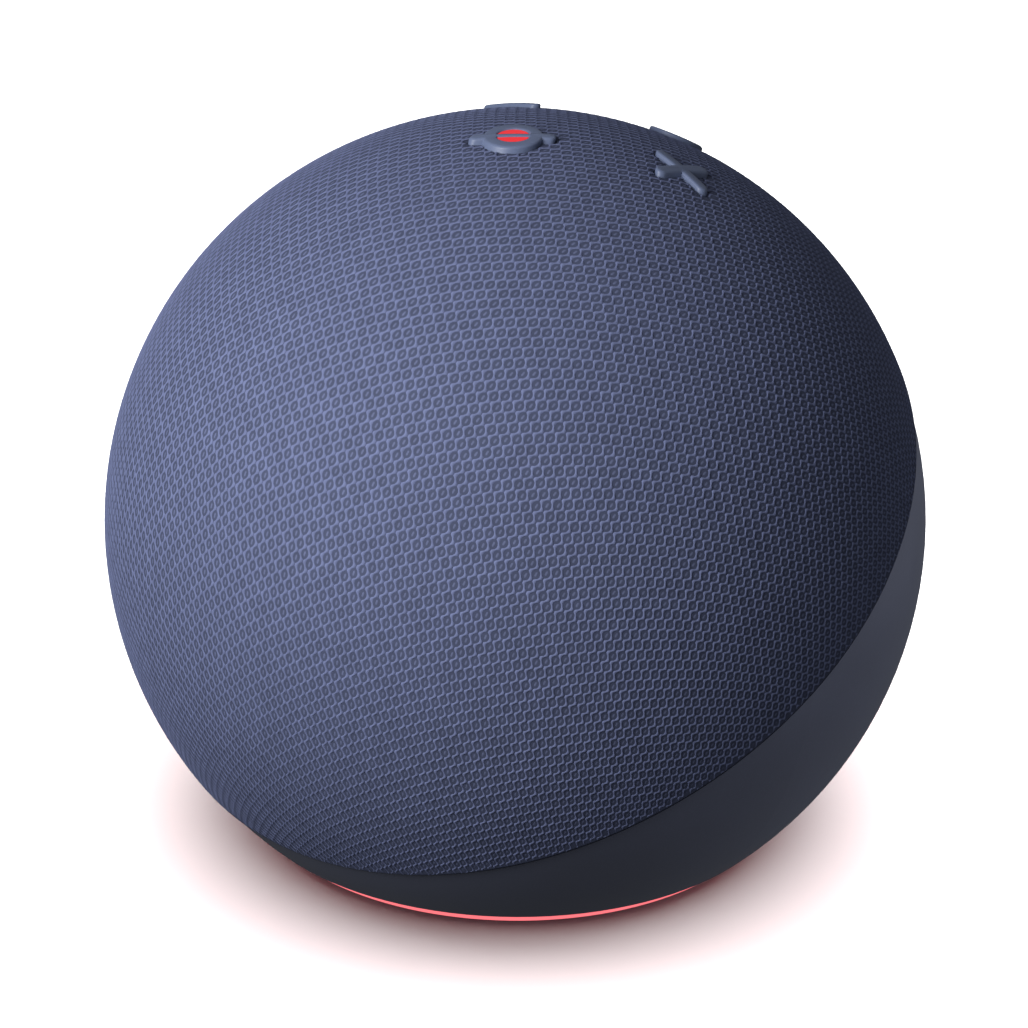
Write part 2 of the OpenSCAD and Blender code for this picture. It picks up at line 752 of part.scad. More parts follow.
module switch_bodies() color([0.75, 0.76, 0.78]) at_buttons() {
  difference() {
    switch_places() block(switch_w, switch_w, panel_top, switch_top);
    switch_places() drill(stem_r + 0.08, switch_top - 1.1, big);
  }
  translate(mute_at) block(1.6, 1.6, panel_top, panel_top + 0.7);
}

module stem(place) color([0.1, 0.1, 0.1]) at_buttons() translate(place)
  drill(stem_r, switch_top - 0.6, key_low - 0.6);

module button(place, foot_place) color([0.3, 0.34, 0.44]) at_buttons() difference() {
  union() {
    intersection() {
      translate([place.x, place.y, key_low]) linear_extrude(big) children();
      sphere(r = ball_r + button_rise);
    }
    translate(place) drill(key_r, key_low, key_top);
    translate(foot_place) drill(0.9, key_low - 0.6, key_low + 0.5);
  }
}

module volume_up_button() button(plus_at, plus_at) plus_mark();

module volume_down_button() button(minus_at, minus_at) minus_mark();

module action_button() difference() {
  button(action_at, action_at) action_mark();
  at_buttons() difference() {
    translate(action_at) drill(dot_d / 2 - 1.3, ball_r - 8, big);
    sphere(r = ball_r - 0.1);
  }
}

module mute_button() difference() {
  button(mute_at, mute_switch_at) mute_mark();
  at_buttons() translate(mute_at) difference() {
    drill(lens_d / 2, 0, big);
    translate([0, 0, bridge_z]) linear_extrude(20) rotate(45) bar(lens_d + 2, bridge_w);
  }
}

module mute_lens() color([1, 0.15, 0.15, 0.9]) at_buttons() difference() {
  intersection() {
    translate(mute_at) drill(lens_d / 2 - fit, key_low - 0.6, big);
    sphere(r = lens_top);
  }
  translate([mute_at.x, mute_at.y, bridge_z - fit]) linear_extrude(20)
    rotate(45) bar(lens_d + 4, bridge_w + 2 * fit);
}

module volume_up_stem() stem(plus_at);

module volume_down_stem() stem(minus_at);

module action_stem() stem(action_at);

module mute_stem() stem(mute_switch_at);

module microphones() color([0.8, 0.75, 0.6]) at_buttons() difference() {
  around(mic_circle, screw_angles) block(3.5, 2.7, panel_top, panel_top + 1);
  around(mic_circle, screw_angles) drill(0.35, panel_top + 0.5, big);
}

module mic_seals() color([0.08, 0.08, 0.09]) at_buttons() difference() {
  intersection() {
    around(mic_circle, screw_angles) drill(2, panel_top + 1 + fit, big);
    sphere(r = shell_in - fit);
  }
  around(mic_circle, screw_angles) drill(0.6, 0, big);
}

module button_flex() color([0.75, 0.5, 0.15]) translate([flex_x, 0, 0])
  ribbon(flex_route, flex_w, flex_t);

knit_cover();
grille_shell();
rear_housing();
seam_ring();
shell_screws();
light_ring();
base_cover();
rubber_foot();
base_screws();
ring_board();
ring_leds();
ring_flex();
inner_frame();
main_board();
main_board_screws();
processor();
thermal_pad();
heat_spreader();
wireless_shield();
board_chips();
power_capacitors();
cable_sockets();
power_jack_body();
power_jack_pin();
antennas();
chamber_body();
chamber_gasket();
chamber_front();
chamber_screws();
driver_gasket();
driver_basket();
driver_top_plate();
driver_magnet();
driver_yoke();
driver_cone();
dust_cap();
coil_former();
voice_coil();
driver_surround();
driver_spider();
driver_terminals();
driver_screws();
speaker_leads();
lead_seal();
button_carrier();
button_board();
button_board_screws();
switch_bodies();
volume_up_button();
volume_down_button();
action_button();
mute_button();
mute_lens();
volume_up_stem();
volume_down_stem();
action_stem();
mute_stem();
microphones();
mic_seals();
button_flex();
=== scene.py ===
"""Looks of a ball-shaped smart speaker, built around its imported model.

A knitted cover is laid over the grille shell as a base cloth, looped threads and the
yarn seen through each loop. The caps of the four buttons are rounded mouldings, and
every inner part gets the finish of its own material.
Metres, +Z up, front towards -Y, origin on the table under the ball's centre.
"""

import logging
import math
from collections.abc import Callable, Sequence
from dataclasses import dataclass, field
from enum import Enum

import bpy
import numpy as np
from mathutils import Matrix, Quaternion, Vector
from mathutils.geometry import delaunay_2d_cdt


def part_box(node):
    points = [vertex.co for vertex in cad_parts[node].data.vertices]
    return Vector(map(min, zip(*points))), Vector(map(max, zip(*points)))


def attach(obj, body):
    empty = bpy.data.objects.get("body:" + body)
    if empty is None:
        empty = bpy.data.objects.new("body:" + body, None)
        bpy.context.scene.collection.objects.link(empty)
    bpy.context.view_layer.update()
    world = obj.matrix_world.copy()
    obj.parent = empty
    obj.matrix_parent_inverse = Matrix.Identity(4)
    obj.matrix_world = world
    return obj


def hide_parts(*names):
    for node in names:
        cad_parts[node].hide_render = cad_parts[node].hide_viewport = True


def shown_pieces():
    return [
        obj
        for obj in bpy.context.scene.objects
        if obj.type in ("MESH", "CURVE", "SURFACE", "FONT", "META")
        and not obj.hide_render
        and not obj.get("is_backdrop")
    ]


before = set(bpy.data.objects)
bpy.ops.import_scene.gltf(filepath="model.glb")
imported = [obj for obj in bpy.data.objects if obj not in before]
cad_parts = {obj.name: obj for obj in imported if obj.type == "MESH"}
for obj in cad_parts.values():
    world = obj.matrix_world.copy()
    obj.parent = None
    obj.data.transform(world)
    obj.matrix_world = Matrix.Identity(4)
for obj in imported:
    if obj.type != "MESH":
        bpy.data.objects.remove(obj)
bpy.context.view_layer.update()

MM = 0.001
SEED = 11
TINY = 1e-9
HEX_ROW = 0.866  # height of a triangle whose sides are 1
MAP_HALF = 0.49  # half the flat map's width, just inside the whole
WAVE_LENGTH = 0.314  # one wave's length at a scale of 1
log = logging.getLogger("speaker")

Colour = tuple[float, float, float]


def srgb(red: int, green: int, blue: int) -> Colour:
    """Turns an 8-bit display colour into the linear colour that shaders take.

    Args:
        red, green, blue: The display colour's parts, 0 to 255.

    Returns:
        The linear colour, each part from 0 to 1.
    """
    parts = (value / 255 for value in (red, green, blue))
    return tuple(p / 12.92 if p <= 0.04045 else ((p + 0.055) / 1.055) ** 2.4 for p in parts)


def shade(colour: Colour, factor: float) -> Colour:
    """Returns the colour made lighter or darker by a factor."""
    return tuple(min(1.0, part * factor) for part in colour)


# ---------- materials ----------


class Graph:
    """A material's node tree, with short calls for the nodes that the finishes share."""

    def __init__(self, name: str) -> None:
        """Starts a material with one principled shader.

        Args:
            name: The material's name.
        """
        self.material = bpy.data.materials.new(name)
        self.material.use_nodes = True
        self.tree = self.material.node_tree
        self.tree.nodes.clear()
        output = self.tree.nodes.new("ShaderNodeOutputMaterial")
        self.shader = self.tree.nodes.new("ShaderNodeBsdfPrincipled")
        self.join(self.shader.outputs["BSDF"], output.inputs["Surface"])
        self.place = self.tree.nodes.new("ShaderNodeTexCoord").outputs["Object"]

    def join(self, source: bpy.types.NodeSocket, target: bpy.types.NodeSocket) -> None:
        """Links two sockets."""
        self.tree.links.new(source, target)

    def set(self, **values: object) -> None:
        """Sets sockets of the principled shader that are the same all over.

        Args:
            values: Socket names in lower case with underscores, and their values.
        """
        sockets = {socket.name.lower().replace(" ", "_"): socket for socket in self.shader.inputs}
        for name, value in values.items():
            whole = (*value, 1.0) if isinstance(value, tuple) and len(value) == 3 else value
            sockets[name].default_value = whole

    def noise(self, size: float, detail: float = 3, stretch: Colour = (1, 1, 1)) -> bpy.types.NodeSocket:
        """Makes a noise pattern in the object's own space.

        Args:
            size: Size of the noise's blotches, in metres.
            detail: How many finer layers are added.
            stretch: Factors on the pattern's frequency along X, Y and Z.

        Returns:
            The socket with the noise's value.
        """
        mapping = self.tree.nodes.new("ShaderNodeMapping")
        mapping.inputs["Scale"].default_value = tuple(part / size for part in stretch)
        self.join(self.place, mapping.inputs["Vector"])
        noise = self.tree.nodes.new("ShaderNodeTexNoise")
        noise.inputs["Scale"].default_value = 1
        noise.inputs["Detail"].default_value = detail
        self.join(mapping.outputs["Vector"], noise.inputs["Vector"])
        return noise.outputs["Fac"]

    def cells(self, size: float, metric: str = "EUCLIDEAN") -> bpy.types.NodeSocket:
        """Makes a pattern of cells, such as grains or tracks.

        Args:
            size: Size of a cell, in metres.
            metric: How distance is measured in it, which shapes the cells.

        Returns:
            The socket with the distance from a cell's middle.
        """
        cells = self.tree.nodes.new("ShaderNodeTexVoronoi")
        cells.inputs["Scale"].default_value = 1 / size
        cells.distance = metric
        self.join(self.place, cells.inputs["Vector"])
        return cells.outputs["Distance"]

    def bands(self, size: float, axis: str) -> bpy.types.NodeSocket:
        """Makes straight bands.

        Args:
            size: Distance from one band to the next, in metres.
            axis: Axis across the bands.

        Returns:
            The socket with the bands' height.
        """
        wave = self.tree.nodes.new("ShaderNodeTexWave")
        wave.wave_type = "BANDS"
        wave.bands_direction = axis
        wave.inputs["Scale"].default_value = WAVE_LENGTH / size
        self.join(self.place, wave.inputs["Vector"])
        return wave.outputs["Fac"]

    def ramp(self, value: bpy.types.NodeSocket, stops: Sequence[tuple[float, Colour]],
             ) -> bpy.types.NodeSocket:
        """Turns a value into a colour.

        Args:
            value: The value's socket.
            stops: Pairs of a value and its colour.

        Returns:
            The socket with the colour.
        """
        node = self.tree.nodes.new("ShaderNodeValToRGB")
        elements = node.color_ramp.elements
        while len(elements) < len(stops):
            elements.new(0.5)
        for element, (position, colour) in zip(elements, stops):
            element.position = position
            element.color = (*colour, 1)
        self.join(value, node.inputs["Fac"])
        return node.outputs["Color"]

    def span(self, value: bpy.types.NodeSocket, low: float, high: float, start: float = 0.3,
             end: float = 0.7) -> bpy.types.NodeSocket:
        """Maps a value onto a range, such as a roughness.

        Args:
            value: The value's socket.
            low, high: What the range starts and ends with.
            start, end: The values that are mapped onto them.

        Returns:
            The socket with the mapped value.
        """
        node = self.tree.nodes.new("ShaderNodeMapRange")
        for name, number in (("From Min", start), ("From Max", end), ("To Min", low), ("To Max", high)):
            node.inputs[name].default_value = number
        self.join(value, node.inputs["Value"])
        return node.outputs["Result"]

    def mix(self, factor: bpy.types.NodeSocket, first: bpy.types.NodeSocket, second: Colour,
            ) -> bpy.types.NodeSocket:
        """Blends a colour into another by a factor.

        Args:
            factor: The factor's socket.
            first: The colour at 0.
            second: The plain colour at 1.

        Returns:
            The socket with the blended colour.
        """
        node = self.tree.nodes.new("ShaderNodeMix")
        node.data_type = "RGBA"
        self.join(factor, node.inputs[0])
        self.join(first, node.inputs[6])
        node.inputs[7].default_value = (*second, 1)
        return node.outputs[2]

    def bump(self, heights: Sequence[tuple[bpy.types.NodeSocket, float]]) -> None:
        """Adds fine relief to the shader.

        Args:
            heights: Pairs of a pattern's socket and its depth in metres.
        """
        normal = None
        for height, depth in heights:
            node = self.tree.nodes.new("ShaderNodeBump")
            node.inputs["Strength"].default_value = 1
            node.inputs["Distance"].default_value = depth
            self.join(height, node.inputs["Height"])
            if normal is not None:
                self.join(normal, node.inputs["Normal"])
            normal = node.outputs["Normal"]
        self.join(normal, self.shader.inputs["Normal"])

    def colour(self, socket: bpy.types.NodeSocket) -> None:
        """Links the base colour."""
        self.join(socket, self.shader.inputs["Base Color"])

    def roughness(self, socket: bpy.types.NodeSocket) -> None:
        """Links the roughness."""
        self.join(socket, self.shader.inputs["Roughness"])


@dataclass(frozen=True)
class Moulding:
    """Moulded plastic: a fine spark-eroded grain, faint flow marks and handling sheen."""

    name: str
    colour: Colour
    roughness: float = 0.5
    grain: float = 0.22 * MM
    grain_depth: float = 0.010 * MM
    variation: float = 0.08
    specular: float = 0.5

    def build(self) -> bpy.types.Material:
        """Returns the finished material."""
        graph = Graph(self.name)
        blotch = graph.noise(18 * MM, 4)
        speck = graph.noise(self.grain, 2)
        flow = graph.ramp(blotch, [(0.3, shade(self.colour, 1 - self.variation)),
                                   (0.7, shade(self.colour, 1 + self.variation))])
        graph.colour(graph.mix(graph.span(speck, 0, 0.35, 0.55, 0.8), flow, shade(self.colour, 1.5)))
        graph.roughness(graph.span(blotch, self.roughness - 0.06, self.roughness + 0.06))
        graph.set(specular_ior_level=self.specular)
        graph.bump([(blotch, 0.02 * MM), (speck, self.grain_depth)])
        return graph.material


@dataclass(frozen=True)
class Yarn:
    """Polyester yarn: matt, with fine lengthwise fibres and uneven dye."""

    name: str
    colour: Colour
    fibre: float = 0.05 * MM
    unevenness: float = 0.1

    def build(self) -> bpy.types.Material:
        """Returns the finished material."""
        graph = Graph(self.name)
        dye = graph.noise(1.6 * MM, 4)
        fibre = graph.noise(self.fibre, 2, (1, 0.35, 1))
        base = graph.ramp(dye, [(0.3, shade(self.colour, 1 - self.unevenness)),
                                (0.7, shade(self.colour, 1 + self.unevenness))])
        graph.colour(graph.mix(graph.span(fibre, 0, 0.45, 0.5, 0.75), base, shade(self.colour, 0.6)))
        graph.roughness(graph.span(fibre, 0.72, 0.9))
        graph.set(specular_ior_level=0.25)
        graph.bump([(fibre, 0.012 * MM)])
        return graph.material


@dataclass(frozen=True)
class Glow:
    """Frosted clear plastic lit from behind by LEDs."""

    name: str
    body: Colour
    light: Colour
    strength: float
    roughness: float = 0.35

    def build(self) -> bpy.types.Material:
        """Returns the finished material."""
        graph = Graph(self.name)
        haze = graph.noise(3 * MM, 3)
        graph.colour(graph.ramp(haze, [(0.3, shade(self.body, 0.9)), (0.7, self.body)]))
        graph.join(graph.ramp(haze, [(0.3, shade(self.light, 0.92)), (0.7, self.light)]),
                   graph.shader.inputs["Emission Color"])
        graph.roughness(graph.span(haze, self.roughness - 0.05, self.roughness + 0.05))
        graph.set(emission_strength=self.strength)
        graph.bump([(graph.noise(0.3 * MM, 2), 0.008 * MM)])
        return graph.material


@dataclass(frozen=True)
class Metal:
    """Bare or plated metal with fine tool marks."""

    name: str
    colour: Colour
    roughness: float = 0.32
    stretch: Colour = (1, 1, 1)

    def build(self) -> bpy.types.Material:
        """Returns the finished material."""
        graph = Graph(self.name)
        marks = graph.noise(0.25 * MM, 4, self.stretch)
        stain = graph.noise(6 * MM, 3)
        graph.colour(graph.ramp(stain, [(0.25, shade(self.colour, 0.82)), (0.75, self.colour)]))
        graph.roughness(graph.span(marks, self.roughness - 0.08, self.roughness + 0.1))
        graph.set(metallic=1.0)
        graph.bump([(marks, 0.008 * MM)])
        return graph.material


@dataclass(frozen=True)
class Laminate:
    """Circuit board: solder mask over copper tracks and plated through holes."""

    name: str
    mask: Colour
    track: Colour
    plating: Colour = srgb(196, 170, 96)

    def build(self) -> bpy.types.Material:
        """Returns the finished material."""
        graph = Graph(self.name)
        tracks = graph.cells(1.7 * MM, "CHEBYCHEV")
        vias = graph.cells(2.3 * MM)
        lines = graph.ramp(tracks, [(0.36, self.mask), (0.40, self.track),
                                    (0.46, self.track), (0.5, self.mask)])
        graph.colour(graph.mix(graph.span(vias, 1, 0, 0.08, 0.1), lines, self.plating))
        graph.roughness(graph.span(tracks, 0.32, 0.42))
        graph.set(specular_ior_level=0.6)
        graph.bump([(graph.span(tracks, 0, 1, 0.36, 0.42), 0.02 * MM)])
        return graph.material


@dataclass(frozen=True)
class Rubber:
    """Soft moulded rubber: matt, with a fine dusty bloom."""

    name: str
    colour: Colour
    pimple: float = 0.5 * MM

    def build(self) -> bpy.types.Material:
        """Returns the finished material."""
        graph = Graph(self.name)
        bloom = graph.noise(5 * MM, 4)
        pimples = graph.cells(self.pimple)
        graph.colour(graph.ramp(bloom, [(0.3, self.colour), (0.75, shade(self.colour, 1.6))]))
        graph.roughness(graph.span(bloom, 0.78, 0.92))
        graph.set(specular_ior_level=0.3)
        graph.bump([(pimples, 0.03 * MM), (graph.noise(0.12 * MM), 0.01 * MM)])
        return graph.material


@dataclass(frozen=True)
class Fibre:
    """Pressed paper, impregnated cloth or foam: matt, with a visible fibre."""

    name: str
    colour: Colour
    size: float = 0.35 * MM
    depth: float = 0.03 * MM
    weave: float = 0

    def build(self) -> bpy.types.Material:
        """Returns the finished material."""
        graph = Graph(self.name)
        fibres = graph.noise(self.size, 5, (1, 2.5, 1))
        graph.colour(graph.ramp(fibres, [(0.3, shade(self.colour, 0.7)), (0.7, shade(self.colour, 1.2))]))
        graph.roughness(graph.span(fibres, 0.75, 0.92))
        relief = [(fibres, self.depth)]
        if self.weave:
            relief += [(graph.bands(self.weave, axis), self.depth) for axis in ("X", "Z")]
        graph.bump(relief)
        return graph.material


@dataclass(frozen=True)
class Winding:
    """Enamelled wire wound in close turns along one axis, coloured darker in the grooves between turns as
    painted shade.
    """

    name: str
    colour: Colour
    pitch: float = 0.2 * MM
    axis: str = "Y"

    def build(self) -> bpy.types.Material:
        """Returns the finished material."""
        graph = Graph(self.name)
        turns = graph.bands(self.pitch, self.axis)
        # The ramp darkens the grooves between turns to 0.4 of the wire's colour: painted shade, not a
        # colour of the wire.
        graph.colour(graph.ramp(turns, [(0.1, shade(self.colour, 0.4)), (0.6, self.colour)]))
        graph.roughness(graph.span(graph.noise(1 * MM), 0.25, 0.4))
        graph.set(metallic=1.0)
        graph.bump([(turns, 0.06 * MM)])
        return graph.material


@dataclass(frozen=True)
class Palette:
    """Every finish of the speaker, keyed by the record's material slot."""

    plastic: Colour = srgb(82, 87, 107)
    steel: Colour = srgb(168, 170, 174)
    red: Colour = (1.0, 0.155, 0.18)
    lens_red: Colour = (1.0, 0.035, 0.045)

    def finishes(self) -> dict[str, object]:
        """Returns each material slot's finish."""
        return {
            "shell_plastic": Moulding("shell_plastic", srgb(30, 33, 42), 0.55),
            "housing_plastic": Moulding("housing_plastic", self.plastic, 0.46),
            "button_plastic": Moulding("button_plastic", srgb(112, 124, 156), 0.42, grain_depth=0.006 * MM),
            "trim_rubber": Rubber("trim_rubber", srgb(22, 22, 24)),
            "screw_steel": Metal("screw_steel", self.steel, 0.3),
            "ring_glow": Glow("ring_glow", srgb(230, 160, 160), self.red, 1.15),
            "lens_glow": Glow("lens_glow", srgb(120, 20, 24), self.lens_red, 0.75, 0.25),
            "circuit_board": Laminate("circuit_board", srgb(14, 74, 44), srgb(26, 112, 66)),
            "led_white": Glow("led_white", srgb(240, 236, 214), self.red, 1.5),
            "flat_cable": Moulding("flat_cable", srgb(186, 120, 38), 0.3),
            "chip_black": Moulding("chip_black", srgb(26, 26, 28), 0.5),
            "pad_blue": Rubber("pad_blue", srgb(92, 132, 176), 0.3 * MM),
            "spreader_metal": Metal("spreader_metal", srgb(184, 186, 190), 0.38, (1, 8, 1)),
            "shield_metal": Metal("shield_metal", srgb(200, 200, 196), 0.26, (6, 1, 1)),
            "socket_plastic": Moulding("socket_plastic", srgb(208, 204, 192), 0.45),
            "contact_brass": Metal("contact_brass", srgb(214, 176, 96), 0.24),
            "basket_metal": Metal("basket_metal", srgb(84, 86, 92), 0.45),
            "magnet_steel": Metal("magnet_steel", srgb(150, 152, 156), 0.34, (1, 5, 1)),
            "magnet_ferrite": Fibre("magnet_ferrite", srgb(52, 52, 54), 0.5 * MM, 0.02 * MM),
            "cone_paper": Fibre("cone_paper", srgb(46, 46, 48), 0.4 * MM, 0.04 * MM),
            "former_film": Moulding("former_film", srgb(200, 150, 62), 0.25),
            "coil_copper": Winding("coil_copper", srgb(190, 96, 48)),
            "surround_rubber": Rubber("surround_rubber", srgb(20, 20, 22), 0.3 * MM),
            "spider_cloth": Fibre("spider_cloth", srgb(178, 140, 74), 0.3 * MM, 0.04 * MM, 0.5 * MM),
            "lead_wire": Moulding("lead_wire", srgb(150, 30, 30), 0.4),
            # The base cloth and the loop backs are coloured darker than the threads: painted shade in the
            # knit's pits, in place of deeper relief.
            "threads": Yarn("knit_threads", srgb(117, 126, 165)),
            "cloth": Yarn("knit_cloth", srgb(78, 85, 112)),
            "loop_backs": Yarn("knit_loop_backs", srgb(106, 114, 148)),
        }


class Wardrobe:
    """Builds each finish once and dresses pieces in it."""

    def __init__(self, palette: Palette) -> None:
        """Takes the finishes of a palette.

        Args:
            palette: The speaker's colours and finishes.
        """
        self.finishes = palette.finishes()
        self.made: dict[str, bpy.types.Material] = {}

    def dress(self, piece: bpy.types.Object, finish: str) -> None:
        """Gives a piece one finish.

        Args:
            piece: The mesh object.
            finish: The finish's name in the palette.
        """
        if finish not in self.made:
            self.made[finish] = self.finishes[finish].build()
        piece.data.materials.clear()
        piece.data.materials.append(self.made[finish])

    def dress_nodes(self, finish: str, names: Sequence[str]) -> None:
        """Gives several carried-over nodes the finish of their slot.

        Args:
            finish: The finish's name, which is the record's slot too.
            names: The nodes.
        """
        for name in names:
            self.dress(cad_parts[name], finish)
            log.info("%s: dressed in %s", name, finish)


# ---------- the ball ----------


@dataclass(frozen=True)
class Ball:
    """The sphere that all outer pieces follow, with its two tilted frames."""

    centre: Vector
    radius: float
    seam_tilt: float = math.radians(31.4)
    seam_drop: float = 3.9 * MM
    cluster_tilt: float = math.radians(15)

    @classmethod
    def from_frame(cls) -> "Ball":
        """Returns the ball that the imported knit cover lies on."""
        low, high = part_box("knit_cover")
        radius = (high.x - low.x) / 2
        return cls(Vector((0, 0, high.z - radius)), radius)

    def seam_axes(self) -> tuple[np.ndarray, np.ndarray, np.ndarray]:
        """Returns the knit's two directions at its middle and the seam's normal."""
        normal = np.array([0, -math.sin(self.seam_tilt), math.cos(self.seam_tilt)])
        across = np.array([1.0, 0, 0])
        return across, np.cross(normal, across), normal

    def sheet_radius(self) -> float:
        """Returns the length along the ball from the knit's middle to its rim."""
        return self.radius * (math.pi / 2 + math.asin(self.seam_drop / self.radius))

    def cluster(self) -> Matrix:
        """Returns the frame of the button group, with its origin at the ball's centre."""
        return Matrix.Translation(self.centre) @ Matrix.Rotation(-self.cluster_tilt, 4, "X")

    def lay(self, s: np.ndarray, t: np.ndarray, lift: np.ndarray) -> np.ndarray:
        """Lays points of the flat knit onto the ball.

        Args:
            s, t: Places in the flat knit, in metres from its middle.
            lift: Heights over the ball.

        Returns:
            The points, one to a row.
        """
        across, up, normal = self.seam_axes()
        reach = np.hypot(s, t)
        safe = np.maximum(reach, TINY)
        angle = reach / self.radius
        flat = (s / safe)[:, None] * across + (t / safe)[:, None] * up
        direction = np.sin(angle)[:, None] * flat + np.cos(angle)[:, None] * normal
        return np.array(self.centre) + (self.radius + lift)[:, None] * direction

    def flatten(self, points: np.ndarray) -> tuple[np.ndarray, np.ndarray]:
        """Finds the places in the flat knit of points on the ball.

        Args:
            points: Points in the row frame, one to a row.

        Returns:
            Their s and t.
        """
        across, up, normal = self.seam_axes()
        unit = points - np.array(self.centre)
        unit /= np.linalg.norm(unit, axis=1)[:, None]
        angle = np.arccos(np.clip(unit @ normal, -1, 1))
        turn = np.arctan2(unit @ up, unit @ across)
        return self.radius * angle * np.cos(turn), self.radius * angle * np.sin(turn)

    def cluster_place(self, points: np.ndarray) -> np.ndarray:
        """Returns points in the frame of the button group."""
        turn = np.array(self.cluster().to_3x3())
        return (points - np.array(self.centre)) @ turn


def new_mesh(name: str, points: np.ndarray, faces: list[np.ndarray]) -> bpy.types.Object:
    """Makes a smooth-shaded mesh object from arrays.

    Args:
        name: The object's name.
        points: Vertices, one to a row.
        faces: Arrays of vertex numbers, one face to a row, each array with its own face size.

    Returns:
        The object, linked to the scene.
    """
    mesh = bpy.data.meshes.new(name)
    mesh.vertices.add(len(points))
    mesh.vertices.foreach_set("co", points.astype(np.float32).ravel())
    sizes = np.concatenate([np.full(len(f), f.shape[1]) for f in faces])
    corners = np.concatenate([f.ravel() for f in faces]).astype(np.int32)
    mesh.loops.add(len(corners))
    mesh.loops.foreach_set("vertex_index", corners)
    mesh.polygons.add(len(sizes))
    mesh.polygons.foreach_set("loop_start", (np.cumsum(sizes) - sizes).astype(np.int32))
    mesh.update(calc_edges=True)
    mesh.validate()
    mesh.polygons.foreach_set("use_smooth", np.ones(len(mesh.polygons), bool))
    piece = bpy.data.objects.new(name, mesh)
    bpy.context.scene.collection.objects.link(piece)
    return piece


def add_flat_map(piece: bpy.types.Object, s: np.ndarray, t: np.ndarray, reach: float) -> None:
    """Gives a knitted piece the map of its flat cut.

    Args:
        piece: The mesh object.
        s, t: Each vertex's place in the flat knit.
        reach: Half the flat knit's width.
    """
    mesh = piece.data
    corners = np.zeros(len(mesh.loops), np.int32)
    mesh.loops.foreach_get("vertex_index", corners)
    flat = 0.5 + MAP_HALF * np.stack([s, t], axis=1)[corners] / reach
    layer = mesh.uv_layers.new(name="OFBake")
    layer.data.foreach_set("uv", flat.astype(np.float32).ravel())


# ---------- button marks ----------


class Mark(Enum):
    """The raised mark on each button's cap."""

    PLUS = "plus"
    MINUS = "minus"
    DOT = "dot"
    SLASHED_RING = "slashed ring"


@dataclass(frozen=True)
class MarkShape:
    """Outline of a button's mark, in the button group's own frame."""

    mark: Mark
    place: tuple[float, float]
    bar_length: float = 8.6 * MM
    bar_width: float = 1.5 * MM
    dot_radius: float = 3.4 * MM
    ring_radius: float = 3.5 * MM
    slash_length: float = 10 * MM
    slash_turn: float = math.radians(45)
    ray_length: float = 12 * MM
    halvings: int = 30

    def bar_distance(self, x: np.ndarray, y: np.ndarray, length: float, turn: float) -> np.ndarray:
        """Returns the distance from points to a round-ended bar, negative inside."""
        along = np.abs(x * math.cos(turn) + y * math.sin(turn))
        aside = y * math.cos(turn) - x * math.sin(turn)
        past = np.maximum(along - (length - self.bar_width) / 2, 0)
        return np.hypot(past, aside) - self.bar_width / 2

    def distance(self, x: np.ndarray, y: np.ndarray) -> np.ndarray:
        """Finds how far points lie from the mark's outline.

        Args:
            x, y: Places in the button group's frame.

        Returns:
            Distances in metres, negative inside the mark.
        """
        x, y = x - self.place[0], y - self.place[1]
        if self.mark is Mark.DOT:
            return np.hypot(x, y) - self.dot_radius
        if self.mark is Mark.SLASHED_RING:
            slash = self.bar_distance(x, y, self.slash_length, self.slash_turn)
            return np.minimum(np.hypot(x, y) - self.ring_radius, slash)
        first = self.bar_distance(x, y, self.bar_length, 0)
        if self.mark is Mark.MINUS:
            return first
        return np.minimum(first, self.bar_distance(x, y, self.bar_length, math.pi / 2))

    def outline(self, grow: float, steps: int = 220) -> tuple[np.ndarray, np.ndarray]:
        """Finds the outline around the mark at a distance, ray by ray.

        Args:
            grow: Distance outside the mark.
            steps: How many rays are used.

        Returns:
            The outline's x and y in the button group's frame.
        """
        turn = np.arange(steps) * 2 * math.pi / steps
        low, high = np.zeros(steps), np.full(steps, self.ray_length)
        for _ in range(self.halvings):
            middle = (low + high) / 2
            x, y = self.place[0] + middle * np.cos(turn), self.place[1] + middle * np.sin(turn)
            inside = self.distance(x, y) < grow
            low, high = np.where(inside, middle, low), np.where(inside, high, middle)
        return self.place[0] + low * np.cos(turn), self.place[1] + low * np.sin(turn)


def bar_loop(length: float, width: float, inset: float, steps: int = 10) -> np.ndarray:
    """Outlines a round-ended bar along X.

    Args:
        length, width: The bar's size.
        inset: How far the outline lies inside it.
        steps: Steps along each side and each end.

    Returns:
        The outline's points, counter-clockwise.
    """
    half, middle = width / 2 - inset, (length - width) / 2
    turn = np.linspace(-math.pi / 2, math.pi / 2, steps + 1)
    end = np.stack([middle + half * np.cos(turn), half * np.sin(turn)], 1)
    side_x = np.linspace(middle, -middle, 2 * steps + 1)[1:-1]
    side = np.stack([side_x, np.full(len(side_x), half)], 1)
    return np.concatenate([end, side, -end, -side])


def plus_loop(length: float, width: float, inset: float, steps: int = 8) -> np.ndarray:
    """Outlines a plus with round ends.

    Args:
        length, width: Size of each of its bars.
        inset: How far the outline lies inside it.
        steps: Steps along each side and each end.

    Returns:
        The outline's points, counter-clockwise.
    """
    half, middle = width / 2 - inset, (length - width) / 2
    turn = np.linspace(-math.pi / 2, math.pi / 2, steps + 1)
    end = np.stack([middle + half * np.cos(turn), half * np.sin(turn)], 1)
    out_x = np.linspace(half, middle, steps + 1)[:-1]
    out = np.stack([out_x, np.full(len(out_x), -half)], 1)
    back = np.stack([out_x[:0:-1], np.full(len(out_x) - 1, half)], 1)
    arm = np.concatenate([out, end, back])
    quarter = np.array([[0, 1], [-1, 0]])
    return np.concatenate([arm @ np.linalg.matrix_power(quarter, k) for k in range(4)])


